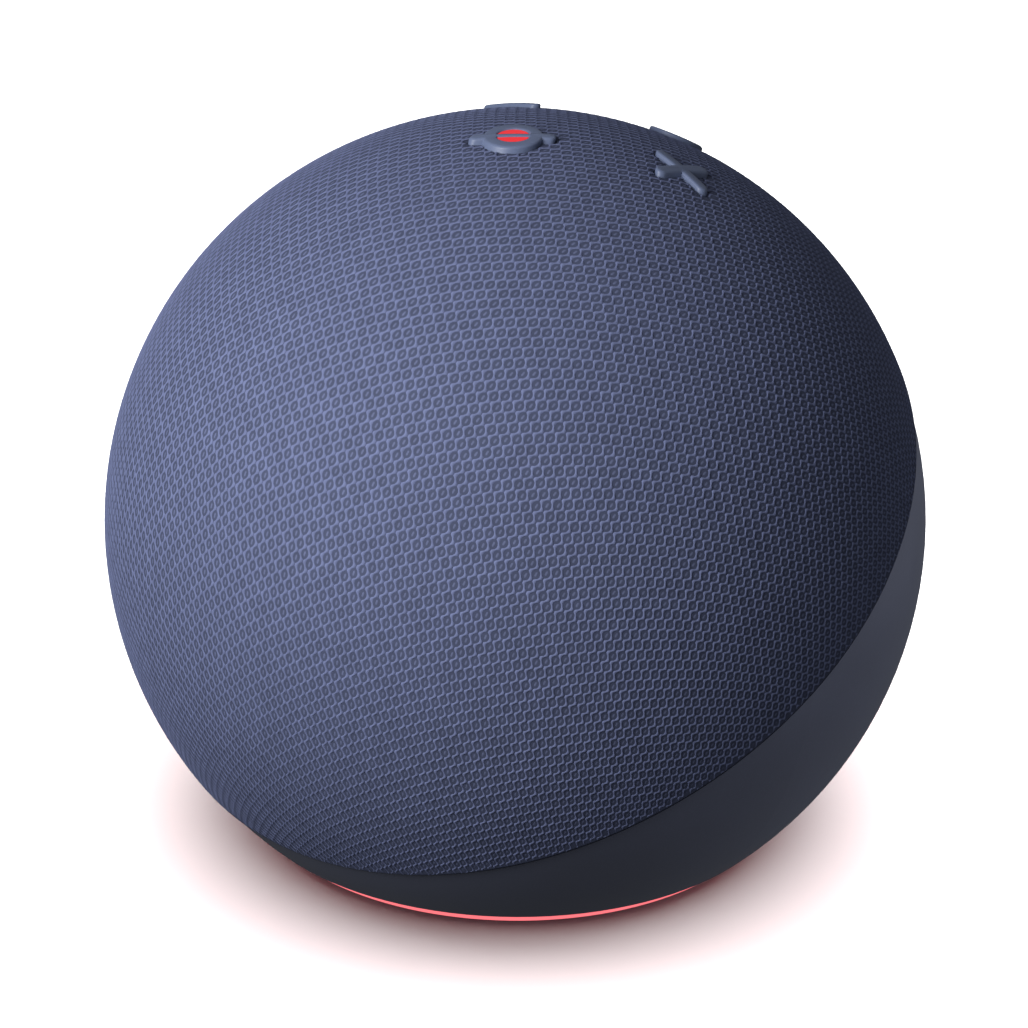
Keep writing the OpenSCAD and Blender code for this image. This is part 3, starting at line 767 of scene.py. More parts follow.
def circle_loop(radius: float, inset: float, steps: int = 72) -> np.ndarray:
    """Outlines a circle.

    Args:
        radius: The circle's radius.
        inset: How far the outline lies inside it.
        steps: How many points it has.

    Returns:
        The outline's points, counter-clockwise.
    """
    turn = np.arange(steps) * 2 * math.pi / steps
    return (radius - inset) * np.stack([np.cos(turn), np.sin(turn)], 1)


def loft(name: str, loops: Sequence[np.ndarray]) -> bpy.types.Object:
    """Joins loops of equally many points into a closed solid.

    Args:
        name: The object's name.
        loops: The loops from the lowest to the last, each with rows of x, y, z.

    Returns:
        The solid.
    """
    count = len(loops[0])
    points = np.concatenate(loops)
    ring = np.arange(count)
    walls = [np.stack([ring + k * count, (ring + 1) % count + k * count,
                       (ring + 1) % count + (k + 1) * count, ring + (k + 1) * count], 1)
             for k in range(len(loops) - 1)]
    last = (len(loops) - 1) * count
    ends = [ring[::-1][None, :], (ring + last)[None, :]]
    return new_mesh(name, points, [np.concatenate(walls), *ends])


def combine(base: bpy.types.Object, tool: bpy.types.Object, operation: str) -> None:
    """Joins a solid to another, or cuts it out of it.

    Args:
        base: The solid that changes.
        tool: The other solid, which is removed.
        operation: UNION or DIFFERENCE.
    """
    modifier = base.modifiers.new(operation.lower(), "BOOLEAN")
    modifier.operation = operation
    modifier.object = tool
    modifier.solver = "EXACT"
    graph = bpy.context.evaluated_depsgraph_get()
    made = bpy.data.meshes.new_from_object(base.evaluated_get(graph))
    base.modifiers.clear()
    base.data = made
    bpy.data.objects.remove(tool)


@dataclass
class Button:
    """One moulded button: a key disc under the shell and a rounded mark above it."""

    ball: Ball
    node: str
    body: str
    shape: MarkShape
    key_low: float = 40.45 * MM
    key_high: float = 41.45 * MM
    key_radius: float = 6 * MM
    rise: float = 0.5 * MM
    edge: float = 0.3 * MM
    edge_steps: int = 5
    dish_radius: float = 2.1 * MM
    dish_drop: float = 0.1 * MM
    window_radius: float = 1.9 * MM
    bridge_depth: float = 1.5 * MM
    bridge_width: float = 0.8 * MM
    crown_share: float = 0.97
    crown_lift: float = 0.02 * MM
    dish_fillet: float = 0.25 * MM
    dish_profile: tuple[tuple[float, float], ...] = (
        (1, 1), (0.92, 0.2), (0.75, 0), (0.5, 0), (0.25, 0), (0.02, 0))
    window_gap: float = 0.1 * MM
    cut_margin: float = 2 * MM
    sharp_angle: float = math.radians(38)

    def rounding(self) -> list[tuple[float, float]]:
        """Returns the inset and the drop at each step of a rounded edge."""
        turns = np.linspace(0, math.pi / 2, self.edge_steps + 1)
        return [(self.edge * (1 - math.cos(turn)), self.edge * (1 - math.sin(turn))) for turn in turns]

    def on_sphere(self, loop: np.ndarray, radius: float) -> np.ndarray:
        """Sets a loop of the mark onto a sphere around the ball's centre.

        Args:
            loop: Points in the mark's plane.
            radius: The sphere's radius.

        Returns:
            Rows of x, y, z in the button group's frame.
        """
        x, y = loop[:, 0] + self.shape.place[0], loop[:, 1] + self.shape.place[1]
        return np.stack([x, y, np.sqrt(radius ** 2 - x ** 2 - y ** 2)], 1)

    def at_height(self, loop: np.ndarray, height: float) -> np.ndarray:
        """Sets a loop of the mark at a height in the button group's frame."""
        x, y = loop[:, 0] + self.shape.place[0], loop[:, 1] + self.shape.place[1]
        return np.stack([x, y, np.full(len(x), height)], 1)

    def crowned(self, name: str, loop: Callable[[float], np.ndarray], half: float,
                low: float | None = None) -> bpy.types.Object:
        """Makes a mark's solid with a rounded upper edge.

        Args:
            name: The object's name.
            loop: Gives the outline at an inset.
            half: Half the mark's narrowest width.
            low: Height of its underside, or None for the key disc's.

        Returns:
            The solid, in the button group's frame.
        """
        top = self.ball.radius + self.rise
        loops = [self.at_height(loop(0), self.key_low if low is None else low)]
        for inset, drop in self.rounding():
            loops.append(self.on_sphere(loop(inset), top - drop))
        loops.append(self.on_sphere(loop(half * self.crown_share), top + self.crown_lift))
        return loft(name, loops)

    def ring(self, outer: float, inner: float, floor: float | None) -> bpy.types.Object:
        """Makes a rounded ring, with a domed floor or open.

        Args:
            outer, inner: The ring's radii.
            floor: Radius of the sphere that the floor follows, or None for an open ring.

        Returns:
            The solid, in the button group's frame.
        """
        top = self.ball.radius + self.rise
        loops = [self.at_height(circle_loop(outer, 0), self.key_low)]
        for inset, drop in self.rounding():
            loops.append(self.on_sphere(circle_loop(outer, inset), top - drop))
        for inset, drop in reversed(self.rounding()):
            loops.append(self.on_sphere(circle_loop(inner, -inset), top - drop))
        if floor is None:
            loops.append(self.at_height(circle_loop(inner, 0), self.key_low))
            return self.open_loft(loops)
        for share, lift in self.dish_profile:
            loops.append(self.on_sphere(circle_loop(inner * share, 0), floor + lift * self.dish_fillet))
        return loft(self.node + "_cap", loops)

    def open_loft(self, loops: list[np.ndarray]) -> bpy.types.Object:
        """Joins loops into a ring-shaped solid, the last loop to the first.

        Args:
            loops: Loops of equally many points.

        Returns:
            The solid.
        """
        count, rows = len(loops[0]), len(loops)
        around = np.arange(count)
        walls = [np.stack([around + k * count, (around + 1) % count + k * count,
                           (around + 1) % count + (k + 1) % rows * count,
                           around + (k + 1) % rows * count], 1) for k in range(rows)]
        return new_mesh(self.node + "_cap", np.concatenate(loops), [np.concatenate(walls)])

    def drum(self, radius: float, low: float, high: float) -> bpy.types.Object:
        """Makes a plain disc around the button's axis, in the button group's frame."""
        loop = circle_loop(radius, 0)
        return loft("drum", [self.at_height(loop, low), self.at_height(loop, high)])

    def mark_solid(self) -> bpy.types.Object:
        """Makes the raised mark, down to the key disc."""
        shape = self.shape
        if shape.mark is Mark.PLUS:
            return self.crowned(self.node + "_cap",
                                lambda inset: plus_loop(shape.bar_length, shape.bar_width, inset),
                                shape.bar_width / 2)
        if shape.mark is Mark.MINUS:
            return self.crowned(self.node + "_cap",
                                lambda inset: bar_loop(shape.bar_length, shape.bar_width, inset),
                                shape.bar_width / 2)
        if shape.mark is Mark.DOT:
            return self.ring(shape.dot_radius, self.dish_radius, self.ball.radius - self.dish_drop)
        turn = shape.slash_turn
        spin = np.array([[math.cos(turn), math.sin(turn)], [-math.sin(turn), math.cos(turn)]])
        slash = self.crowned("slash",
                             lambda inset: bar_loop(shape.slash_length, shape.bar_width, inset) @ spin,
                             shape.bar_width / 2)
        window = self.drum(self.window_radius + self.window_gap, self.key_low - self.cut_margin,
                           self.ball.radius + self.cut_margin)
        combine(slash, window, "DIFFERENCE")
        ring = self.ring(shape.ring_radius, self.window_radius, None)
        combine(ring, slash, "UNION")
        combine(ring, self.bridge(spin), "UNION")
        return ring

    def bridge(self, spin: np.ndarray) -> bpy.types.Object:
        """Makes the narrow part of the slash that crosses the mute button's window.

        Args:
            spin: The slash's turn, as a matrix for rows of x and y.

        Returns:
            The solid, in the button group's frame.
        """
        length = 2 * self.window_radius + self.bridge_width
        surface = math.sqrt(self.ball.radius ** 2 - math.hypot(*self.shape.place) ** 2)
        return self.crowned("bridge",
                            lambda inset: bar_loop(length, self.bridge_width, inset) @ spin,
                            self.bridge_width / 2, surface - self.bridge_depth)

    def build(self, wardrobe: Wardrobe) -> None:
        """Builds the button and dresses it.

        Args:
            wardrobe: The speaker's finishes.
        """
        piece = self.mark_solid()
        disc = self.drum(self.key_radius, self.key_low, self.key_high)
        if self.shape.mark is Mark.SLASHED_RING:
            window = self.drum(self.window_radius, self.key_low - self.cut_margin,
                               self.key_high + self.cut_margin)
            combine(disc, window, "DIFFERENCE")
        combine(piece, disc, "UNION")
        piece.data.transform(self.ball.cluster())
        piece.data.polygons.foreach_set("use_smooth", np.ones(len(piece.data.polygons), bool))
        piece.data.set_sharp_from_angle(angle=self.sharp_angle)
        wardrobe.dress(piece, "button_plastic")
        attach(piece, self.body)
        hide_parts(self.node)


@dataclass
class ButtonGroup:
    """The four buttons on top of the ball."""

    ball: Ball
    reach: float = 14.3 * MM
    buttons: list[Button] = field(init=False)

    def __post_init__(self) -> None:
        """Sets the four buttons in their places."""
        layout = (
            ("volume_up_button", Mark.PLUS, (self.reach, 0.0)),
            ("volume_down_button", Mark.MINUS, (-self.reach, 0.0)),
            ("action_button", Mark.DOT, (0.0, self.reach)),
            ("mute_button", Mark.SLASHED_RING, (0.0, -self.reach)),
        )
        self.buttons = [Button(self.ball, name, name, MarkShape(mark, place))
                        for name, mark, place in layout]

    def distance(self, points: np.ndarray) -> np.ndarray:
        """Returns how far points of the knit lie from the nearest mark, in metres."""
        local = self.ball.cluster_place(points)
        near = [b.shape.distance(local[:, 0], local[:, 1]) for b in self.buttons]
        return np.where(local[:, 2] > 0, np.min(near, axis=0), 1.0)

    def build(self, wardrobe: Wardrobe) -> None:
        """Builds all four buttons."""
        for button in self.buttons:
            button.build(wardrobe)
            log.info("button %s: %s mark", button.node, button.shape.mark.value)


# ---------- knitted cover ----------


@dataclass
class KnitCover:
    """The knitted cover: a base cloth, looped threads and the yarn seen through the loops."""

    ball: Ball
    buttons: ButtonGroup
    column_pitch: float = 1.0 * MM
    loop_pitch: float = 0.857 * MM
    swing: float = 0.235 * MM
    thread_width: float = 0.29 * MM
    joint_width: float = 0.5 * MM
    thread_depth: float = 0.1 * MM
    cloth_drop: float = 0.08 * MM
    back_width: float = 0.36 * MM
    back_length: float = 0.84 * MM
    back_drop: float = 0.05 * MM
    selvedge: float = 0.4 * MM
    cloth_step: float = 1.3 * MM
    rim_roll: float = 0.5 * MM
    slot_gap: float = 0.14 * MM
    slot_roll: float = 0.35 * MM
    wander: float = 0.01 * MM
    thread_pieces: int = 4
    loop_steps: int = 3
    thread_profile: tuple[float, ...] = (-0.5, -0.225, 0.225, 0.5)
    thread_end: float = 0.4
    span_sink: float = 0.02 * MM
    slot_roll_share: float = 0.7
    slot_overlap: float = 0.02 * MM
    cloth_clear: float = 0.25 * MM
    cloth_sink_least: float = 0.1
    rim_step_share: float = 0.9
    rim_rings: tuple[float, ...] = (0.12, 0.35, 0.7, 1.1)
    rim_clear: float = 2.2
    tuck_drops: tuple[float, ...] = (0.83 * MM, 0.9 * MM)
    back_clear: float = 0.6 * MM
    back_top_share: float = 0.45

    def __post_init__(self) -> None:
        """Works out the flat knit's reach and seeds its irregularity."""
        self.reach = self.ball.sheet_radius()
        self.random = np.random.default_rng(SEED)

    def on_ball(self, s: np.ndarray, t: np.ndarray, lift: np.ndarray) -> np.ndarray:
        """Lays points onto the ball, rolling them down at the rim and around the marks.

        Args:
            s, t: Places in the flat knit.
            lift: Heights over the ball.

        Returns:
            The points, one to a row.
        """
        far = np.hypot(s, t)
        hold = np.minimum(1, self.reach / np.maximum(far, TINY))
        s, t = s * hold, t * hold
        inwards = 1 - np.clip((self.reach - far) / self.rim_roll, 0, 1)
        roll = self.rim_roll * (1 - np.sqrt(1 - inwards ** 2))
        near = self.buttons.distance(self.ball.lay(s, t, lift)) - self.slot_gap
        beside = 1 - np.clip(near / self.slot_roll, 0, 1)
        roll = np.maximum(roll, self.slot_roll_share * self.slot_roll * (1 - np.sqrt(1 - beside ** 2)))
        return self.ball.lay(s, t, lift - roll)

    def cloth_points(self) -> tuple[np.ndarray, list[tuple[int, int]], int]:
        """Finds the base cloth's points and the outlines that its faces keep to.

        Returns:
            The points in the flat knit, the edges along outlines, and how many points
            the rim has.
        """
        count = int(2 * math.pi * self.reach / (self.rim_step_share * self.cloth_step))
        turn = np.arange(count) * 2 * math.pi / count
        loops = [self.reach * np.stack([np.cos(turn), np.sin(turn)], 1)]
        for button in self.buttons.buttons:
            x, y = button.shape.outline(self.slot_gap)
            top = np.stack([x, y, np.sqrt(self.ball.radius ** 2 - x ** 2 - y ** 2)], 1)
            turned = top @ np.array(self.ball.cluster().to_3x3()).T + np.array(self.ball.centre)
            loops.append(np.stack(self.ball.flatten(turned), 1))
        edges, start = [], 0
        for loop in loops:
            edges += [(start + k, start + (k + 1) % len(loop)) for k in range(len(loop))]
            start += len(loop)
        rings = [(self.reach - inset * self.rim_roll) * np.stack([np.cos(turn), np.sin(turn)], 1)
                 for inset in self.rim_rings]
        rows = int(self.reach / self.cloth_step) + 1
        i, j = np.meshgrid(np.arange(-2 * rows, 2 * rows + 1), np.arange(-2 * rows, 2 * rows + 1))
        s, t = (i + j % 2 / 2).ravel() * self.cloth_step, j.ravel() * self.cloth_step * HEX_ROW
        inside = np.hypot(s, t) < self.reach - self.rim_clear * self.rim_roll
        s, t = s[inside], t[inside]
        from_mark = self.buttons.distance(self.ball.lay(s, t, np.zeros(len(s))))
        clear = from_mark > self.slot_gap + self.cloth_clear
        grid = np.stack([s[clear], t[clear]], 1)
        return np.concatenate([*loops, *rings, grid]), edges, count

    def build_cloth(self, wardrobe: Wardrobe) -> bpy.types.Object:
        """Builds the base cloth and its tucked-in rim.

        Args:
            wardrobe: The speaker's finishes.

        Returns:
            The cloth.
        """
        flat, edges, rim = self.cloth_points()
        outlined = delaunay_2d_cdt([Vector(p) for p in flat / MM], edges, [], 0, 1e-6)
        flat = np.array([tuple(p) for p in outlined[0]]) * MM
        faces = np.array([f for f in outlined[2] if len(f) == 3])
        middle = flat[faces].mean(1)
        on_top = self.ball.lay(middle[:, 0], middle[:, 1], np.zeros(len(middle)))
        kept = self.buttons.distance(on_top) > self.slot_gap - self.slot_overlap
        faces = faces[kept & (np.hypot(middle[:, 0], middle[:, 1]) < self.reach)]
        bare = self.ball.lay(flat[:, 0], flat[:, 1], np.zeros(len(flat)))
        from_edge = np.minimum(self.reach - np.hypot(flat[:, 0], flat[:, 1]),
                               self.buttons.distance(bare) - self.slot_gap)
        sunk = np.clip((from_edge - self.selvedge) / self.selvedge, self.cloth_sink_least, 1)
        points = self.on_ball(flat[:, 0], flat[:, 1], -self.cloth_drop * sunk)
        around = np.arange(rim)
        tuck = [self.ball.lay(flat[:rim, 0], flat[:rim, 1], np.full(rim, -drop))
                for drop in self.tuck_drops]
        first = len(flat)
        loops = [around, around + first, around + first + rim]
        skirt = [np.stack([a, b, np.roll(b, -1), np.roll(a, -1)], 1) for a, b in zip(loops, loops[1:])]
        points = np.concatenate([points, *tuck])
        cloth = new_mesh("knit_cloth", points, [faces, np.concatenate(skirt)])
        whole = np.concatenate([flat, flat[:rim], flat[:rim]])
        add_flat_map(cloth, whole[:, 0], whole[:, 1], self.reach)
        # The cloth's darker colour is painted shade in the pits between the threads.
        wardrobe.dress(cloth, "cloth")
        return cloth

    def thread(self, column: int) -> tuple[np.ndarray, np.ndarray, np.ndarray]:
        """Finds the centreline of one thread.

        Args:
            column: Which thread, counted from the middle.

        Returns:
            Its s and t, and where it lies between spans (0) and junctions (1).
        """
        base = (column + 0.5) * self.column_pitch
        reach = math.sqrt(max(self.reach ** 2 - base ** 2, 0))
        count = int(self.loop_steps * reach / self.loop_pitch) + 2
        half_step = 0.5 / self.loop_steps
        phase = np.arange(-count, count + 1) / self.loop_steps - half_step
        side = 1 if column % 2 == 0 else -1
        lean = np.cos(math.pi * phase) / math.cos(math.pi * half_step) * side
        s = base + self.swing * lean + self.random.normal(0, self.wander, len(phase))
        return s, phase * self.loop_pitch, np.abs(lean)

    def build_threads(self, wardrobe: Wardrobe) -> list[bpy.types.Object]:
        """Builds the looped threads, in a few pieces side by side.

        Args:
            wardrobe: The speaker's finishes.

        Returns:
            The pieces.
        """
        columns = int(self.reach / self.column_pitch)
        groups = np.array_split(np.arange(-columns, columns), self.thread_pieces)
        across = np.array(self.thread_profile)
        strand = len(across)
        made = []
        for number, group in enumerate(groups, 1):
            lines = [self.thread(int(column)) for column in group]
            s, t, joint = (np.concatenate(parts) for parts in zip(*lines))
            starts = np.cumsum([0] + [len(line[0]) for line in lines[:-1]])
            goes_on = np.ones(len(s), bool)
            goes_on[starts + [len(line[0]) - 1 for line in lines]] = False
            crown = -self.span_sink * (1 - joint) + self.random.normal(0, self.wander, len(s))
            crown = np.minimum(crown, 0)
            width = self.thread_width + (self.joint_width - self.thread_width) * joint ** 2
            wide_s = (s[:, None] + width[:, None] * across).ravel()
            wide_t = np.repeat(t, strand)
            low = np.full(len(s), -self.thread_depth)
            lift = np.stack([low, crown, crown, low], 1).ravel()
            points = self.on_ball(wide_s, wide_t, lift)
            centre = self.ball.lay(s, t, np.zeros(len(s)))
            open_here = self.buttons.distance(centre) > self.slot_gap + self.thread_width * self.thread_end
            within = np.hypot(s, t) < self.reach - 0.5 * self.selvedge
            use = np.flatnonzero(goes_on & open_here & within
                                 & np.roll(open_here, -1) & np.roll(within, -1))
            first = use * strand
            quads = np.concatenate([np.stack([first + k, first + k + 1, first + k + strand + 1,
                                              first + k + strand], 1) for k in range(strand - 1)])
            used, quads = np.unique(quads, return_inverse=True)
            piece = new_mesh(f"knit_threads_{number}", points[used], [quads.reshape(-1, 4)])
            add_flat_map(piece, wide_s[used], wide_t[used], self.reach)
            wardrobe.dress(piece, "threads")
            made.append(piece)
        return made

    def build_loop_backs(self, wardrobe: Wardrobe) -> bpy.types.Object:
        """Builds the yarn that crosses behind each loop, as low oval beads.

        Args:
            wardrobe: The speaker's finishes.

        Returns:
            The piece.
        """
        columns, rows = int(self.reach / self.column_pitch), int(self.reach / self.loop_pitch)
        i, j = np.meshgrid(np.arange(-columns, columns + 1), np.arange(-rows, rows + 1))
        whole = (i + j) % 2 == 0
        s, t = i[whole] * self.column_pitch, j[whole] * self.loop_pitch
        clear = self.buttons.distance(self.ball.lay(s, t, np.zeros(len(s)))) > self.back_clear
        clear &= np.hypot(s, t) < self.reach - self.back_length
        s, t = s[clear], t[clear]
        half, long = self.back_width / 2, self.back_length / 2
        bead_s = np.array([0, half, half, 0, -half, -half, 0, 0])
        tip = long * self.back_top_share
        bead_t = np.array([-long, -long / 2, long / 2, long, long / 2, -long / 2, -tip, tip])
        low, top = -self.thread_depth, -self.back_drop
        bead_lift = np.array([low] * 6 + [top] * 2)
        s = s + self.random.normal(0, 2 * self.wander, len(s))
        wide_s, wide_t = (s[:, None] + bead_s).ravel(), (t[:, None] + bead_t).ravel()
        points = self.on_ball(wide_s, wide_t, np.tile(bead_lift, len(s)))
        first = (np.arange(len(s)) * len(bead_s))[:, None, None]
        quads = first + np.array([[1, 2, 7, 6], [4, 5, 6, 7]])
        corners = first + np.array([[0, 1, 6], [0, 6, 5], [2, 3, 7], [3, 4, 7]])
        piece = new_mesh("knit_loop_backs", points, [quads.reshape(-1, 4), corners.reshape(-1, 3)])
        add_flat_map(piece, wide_s, wide_t, self.reach)
        # The loop backs are coloured darker than the threads: painted shade inside each loop.
        wardrobe.dress(piece, "loop_backs")
        return piece

    def build(self, wardrobe: Wardrobe) -> None:
        """Builds the cover, attaches its pieces to the speaker and hides the imported cover.

        Args:
            wardrobe: The speaker's finishes.
        """
        cloth = self.build_cloth(wardrobe)
        others = [*self.build_threads(wardrobe), self.build_loop_backs(wardrobe)]
        for piece in (cloth, *others):
            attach(piece, "speaker")
            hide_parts("knit_cover")
            log.info("%s: %d faces", piece.name, len(piece.data.polygons))


# ---------- carried-over parts ----------


@dataclass
class Housing:
    """The moulded shells, the base and the light ring."""

    def build(self, wardrobe: Wardrobe) -> None:
        """Dresses the outer and inner shells."""
        wardrobe.dress_nodes("shell_plastic", ["grille_shell", "button_carrier", "inner_frame"])
        wardrobe.dress_nodes("housing_plastic", ["rear_housing", "base_cover"])
        wardrobe.dress_nodes("trim_rubber", ["seam_ring", "rubber_foot"])
        wardrobe.dress_nodes("screw_steel", ["shell_screws", "base_screws"])
        wardrobe.dress_nodes("ring_glow", ["light_ring"])
        log.info("housing: shells, base and light ring dressed")


@dataclass
class Electronics:
    """Boards, chips, switches, cables and the power inlet."""

    def build(self, wardrobe: Wardrobe) -> None:
        """Dresses the electronics."""
        wardrobe.dress_nodes("circuit_board", ["main_board", "button_board", "ring_board"])
        wardrobe.dress_nodes("chip_black", ["processor", "board_chips", "power_jack_body"])
        wardrobe.dress_nodes("screw_steel", ["main_board_screws", "button_board_screws"])
        wardrobe.dress_nodes("pad_blue", ["thermal_pad"])
        wardrobe.dress_nodes("spreader_metal", ["heat_spreader", "power_capacitors"])
        wardrobe.dress_nodes("shield_metal", ["wireless_shield", "microphones", "switch_bodies"])
        wardrobe.dress_nodes("socket_plastic", ["cable_sockets"])
        wardrobe.dress_nodes("contact_brass", ["power_jack_pin", "antennas"])
        wardrobe.dress_nodes("flat_cable", ["ring_flex", "button_flex"])
        wardrobe.dress_nodes("led_white", ["ring_leds"])
        wardrobe.dress_nodes("lens_glow", ["mute_lens"])
        stems = ["volume_up_stem", "volume_down_stem", "action_stem", "mute_stem"]
        wardrobe.dress_nodes("chip_black", stems)
        wardrobe.dress_nodes("trim_rubber", ["mic_seals"])
        log.info("electronics: boards, switches and cables dressed")


@dataclass
class Loudspeaker:
    """The driver and the sealed chamber behind it."""

    def build(self, wardrobe: Wardrobe) -> None:
        """Dresses the driver and its chamber."""
        wardrobe.dress_nodes("shell_plastic", ["chamber_body", "chamber_front"])
        wardrobe.dress_nodes("screw_steel", ["chamber_screws", "driver_screws"])
        wardrobe.dress_nodes("trim_rubber", ["chamber_gasket", "driver_gasket", "lead_seal"])
        wardrobe.dress_nodes("basket_metal", ["driver_basket"])
        wardrobe.dress_nodes("magnet_steel", ["driver_top_plate", "driver_yoke"])
        wardrobe.dress_nodes("magnet_ferrite", ["driver_magnet"])
        wardrobe.dress_nodes("cone_paper", ["driver_cone", "dust_cap"])
        wardrobe.dress_nodes("former_film", ["coil_former"])
        wardrobe.dress_nodes("coil_copper", ["voice_coil"])
        wardrobe.dress_nodes("surround_rubber", ["driver_surround"])
        wardrobe.dress_nodes("spider_cloth", ["driver_spider"])
        wardrobe.dress_nodes("contact_brass", ["driver_terminals"])
        wardrobe.dress_nodes("lead_wire", ["speaker_leads"])
        log.info("loudspeaker: driver and chamber dressed")


# ---------- studio ----------


@dataclass(frozen=True)
class Lamp:
    """A soft square light that stands around the ball and aims at its centre."""

    name: str
    azimuth: float
    elevation: float
    away: float
    size: float
    power: float


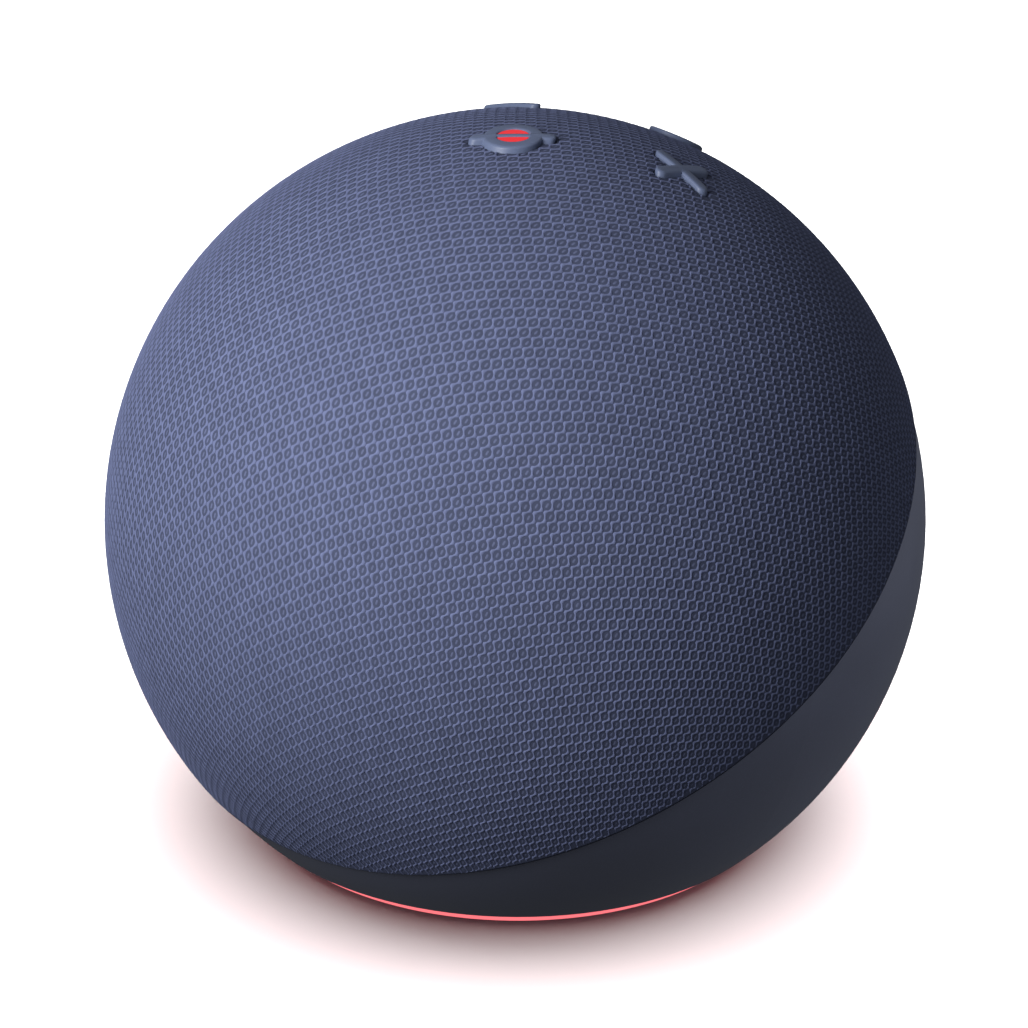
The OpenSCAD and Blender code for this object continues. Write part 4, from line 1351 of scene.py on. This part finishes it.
@dataclass
class Studio:
    """Camera, soft lights and a plain pale floor."""

    ball: Ball
    azimuth: float = math.radians(45.65)
    elevation: float = math.radians(25.8)
    distance: float = 0.6
    lens: float = 172.66
    roll: float = math.radians(0.7)
    aside: float = -0.0025
    raised: float = 0.005
    sensor: float = 36
    near: float = 0.01
    far: float = 20
    floor_size: float = 6.0
    floor_blotch: float = 0.4
    floor_greys: tuple[float, float] = (0.93, 0.95)
    key: Lamp = Lamp("key", math.radians(3), math.radians(34), 0.27, 0.14, 0.62)
    rim: Lamp = Lamp("rim", math.radians(135), math.radians(15), 0.6, 0.5, 1.7)
    floor_sky: Lamp = Lamp("floor_sky", 0, math.pi / 2 - 0.001, 1.2, 2.4, 70.0)
    spill_lamps: int = 20
    spill_power: float = 0.0011
    spill_colour: Colour = (1, 0.1, 0.13)
    spill_size: float = 6 * MM
    spill_outset: float = 18 * MM
    spill_height: float = 9 * MM
    surround: Colour = (0.95, 0.97, 1.0)
    surround_below: float = 0.1
    surround_above: float = 0.15
    surround_blend: tuple[float, float] = (-0.15, 0.25)

    def direction(self, azimuth: float, elevation: float) -> Vector:
        """Returns the unit vector from the ball towards a place around it."""
        flat = math.cos(elevation)
        return Vector((math.sin(azimuth) * flat, -math.cos(azimuth) * flat, math.sin(elevation)))

    def build_camera(self) -> None:
        """Sets up the camera that the main view uses."""
        data = bpy.data.cameras.new("camera")
        data.sensor_width, data.lens = self.sensor, self.lens
        data.shift_x, data.shift_y = self.aside, self.raised
        data.clip_start, data.clip_end = self.near, self.far
        camera = bpy.data.objects.new("camera", data)
        back = self.direction(self.azimuth, self.elevation)
        camera.rotation_mode = "QUATERNION"
        camera.location = self.ball.centre + back * self.distance
        turn = (-back).to_track_quat("-Z", "Y")
        camera.rotation_quaternion = turn @ Quaternion((0, 0, 1), self.roll)
        bpy.context.scene.collection.objects.link(camera)
        bpy.context.scene.camera = camera

    def build_floor(self) -> bpy.types.Object:
        """Builds the floor.

        Returns:
            The floor, which isn't part of the speaker.
        """
        half = self.floor_size / 2
        corners = np.array([[-half, -half, 0], [half, -half, 0], [half, half, 0], [-half, half, 0]])
        floor = new_mesh("floor", corners, [np.array([[0, 1, 2, 3]])])
        graph = Graph("pale_floor")
        darker, lighter = self.floor_greys
        stops = [(0.3, (darker,) * 3), (0.7, (lighter,) * 3)]
        graph.colour(graph.ramp(graph.noise(self.floor_blotch, 2), stops))
        graph.set(roughness=0.9, specular_ior_level=0.0)
        floor.data.materials.append(graph.material)
        floor.visible_diffuse = False
        floor.visible_glossy = False
        floor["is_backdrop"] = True
        return floor

    def add_light(self, lamp: Lamp, receivers: bpy.types.Collection) -> None:
        """Adds a soft square light aimed at the ball.

        Args:
            lamp: Its name, place, side in metres and power in watts.
            receivers: The collection with the objects that it lights.
        """
        data = bpy.data.lights.new(lamp.name, "AREA")
        data.size, data.energy = lamp.size, lamp.power
        light = bpy.data.objects.new(lamp.name, data)
        back = self.direction(lamp.azimuth, lamp.elevation)
        light.location = self.ball.centre + back * lamp.away
        light.rotation_mode = "QUATERNION"
        light.rotation_quaternion = (-back).to_track_quat("-Z", "Y")
        bpy.context.scene.collection.objects.link(light)
        self.aim_only_at(light, receivers)

    def aim_only_at(self, light: bpy.types.Object, receivers: bpy.types.Collection) -> None:
        """Lets a lamp or a glowing piece light only the objects of a collection."""
        light.light_linking.receiver_collection = receivers

    def receivers(self, name: str, objects: Sequence[bpy.types.Object]) -> bpy.types.Collection:
        """Gathers the objects that a light may reach.

        Args:
            name: The collection's name.
            objects: The objects.

        Returns:
            The collection.
        """
        collection = bpy.data.collections.new(name)
        for item in objects:
            collection.objects.link(item)
        return collection

    def build_glow_spill(self, floor_only: bpy.types.Collection) -> None:
        """Adds the ring's wide glow on the floor, as small red lamps around the base.

        Args:
            floor_only: The collection that holds the floor.
        """
        low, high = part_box("light_ring")
        radius = (high.x - low.x) / 2 + self.spill_outset
        for k in range(self.spill_lamps):
            turn = 2 * math.pi * k / self.spill_lamps
            data = bpy.data.lights.new(f"spill_{k}", "POINT")
            data.energy, data.color = self.spill_power, self.spill_colour
            data.shadow_soft_size = self.spill_size
            lamp = bpy.data.objects.new(f"spill_{k}", data)
            lamp.location = (radius * math.cos(turn), radius * math.sin(turn), self.spill_height)
            bpy.context.scene.collection.objects.link(lamp)
            self.aim_only_at(lamp, floor_only)

    def build_world(self) -> None:
        """Sets a dim grey surround, darker below the floor."""
        world = bpy.data.worlds.new("studio")
        bpy.context.scene.world = world
        world.use_nodes = True
        tree = world.node_tree
        tree.nodes.clear()
        place = tree.nodes.new("ShaderNodeTexCoord")
        split = tree.nodes.new("ShaderNodeSeparateXYZ")
        tree.links.new(place.outputs["Generated"], split.inputs["Vector"])
        span = tree.nodes.new("ShaderNodeMapRange")
        span.inputs["From Min"].default_value, span.inputs["From Max"].default_value = self.surround_blend
        span.inputs["To Min"].default_value = self.surround_below
        span.inputs["To Max"].default_value = self.surround_above
        tree.links.new(split.outputs["Z"], span.inputs["Value"])
        background = tree.nodes.new("ShaderNodeBackground")
        background.inputs["Color"].default_value = (*self.surround, 1)
        tree.links.new(span.outputs["Result"], background.inputs["Strength"])
        output = tree.nodes.new("ShaderNodeOutputWorld")
        tree.links.new(background.outputs["Background"], output.inputs["Surface"])

    def build(self) -> None:
        """Builds the whole studio."""
        self.build_camera()
        floor_only = self.receivers("floor_only", [self.build_floor()])
        speaker_only = self.receivers("speaker_only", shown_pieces())
        housing_only = self.receivers("housing_only", [bpy.data.objects["rear_housing"]])
        self.add_light(self.key, speaker_only)
        self.add_light(self.rim, housing_only)
        self.aim_only_at(bpy.data.objects["light_ring"], speaker_only)
        self.add_light(self.floor_sky, floor_only)
        self.build_glow_spill(floor_only)
        self.build_world()
        bpy.context.scene.view_settings.view_transform = "Standard"
        log.info("studio: camera, lights and floor")


def main() -> None:
    """Builds the speaker's looks, piece by piece, and the studio around it."""
    logging.basicConfig(level=logging.INFO, format="%(name)s: %(message)s")
    ball = Ball.from_frame()
    wardrobe = Wardrobe(Palette())
    buttons = ButtonGroup(ball)
    buttons.build(wardrobe)
    KnitCover(ball, buttons).build(wardrobe)
    for part in (Housing(), Electronics(), Loudspeaker()):
        part.build(wardrobe)
    Studio(ball).build()


if __name__ == "__main__":
    main()
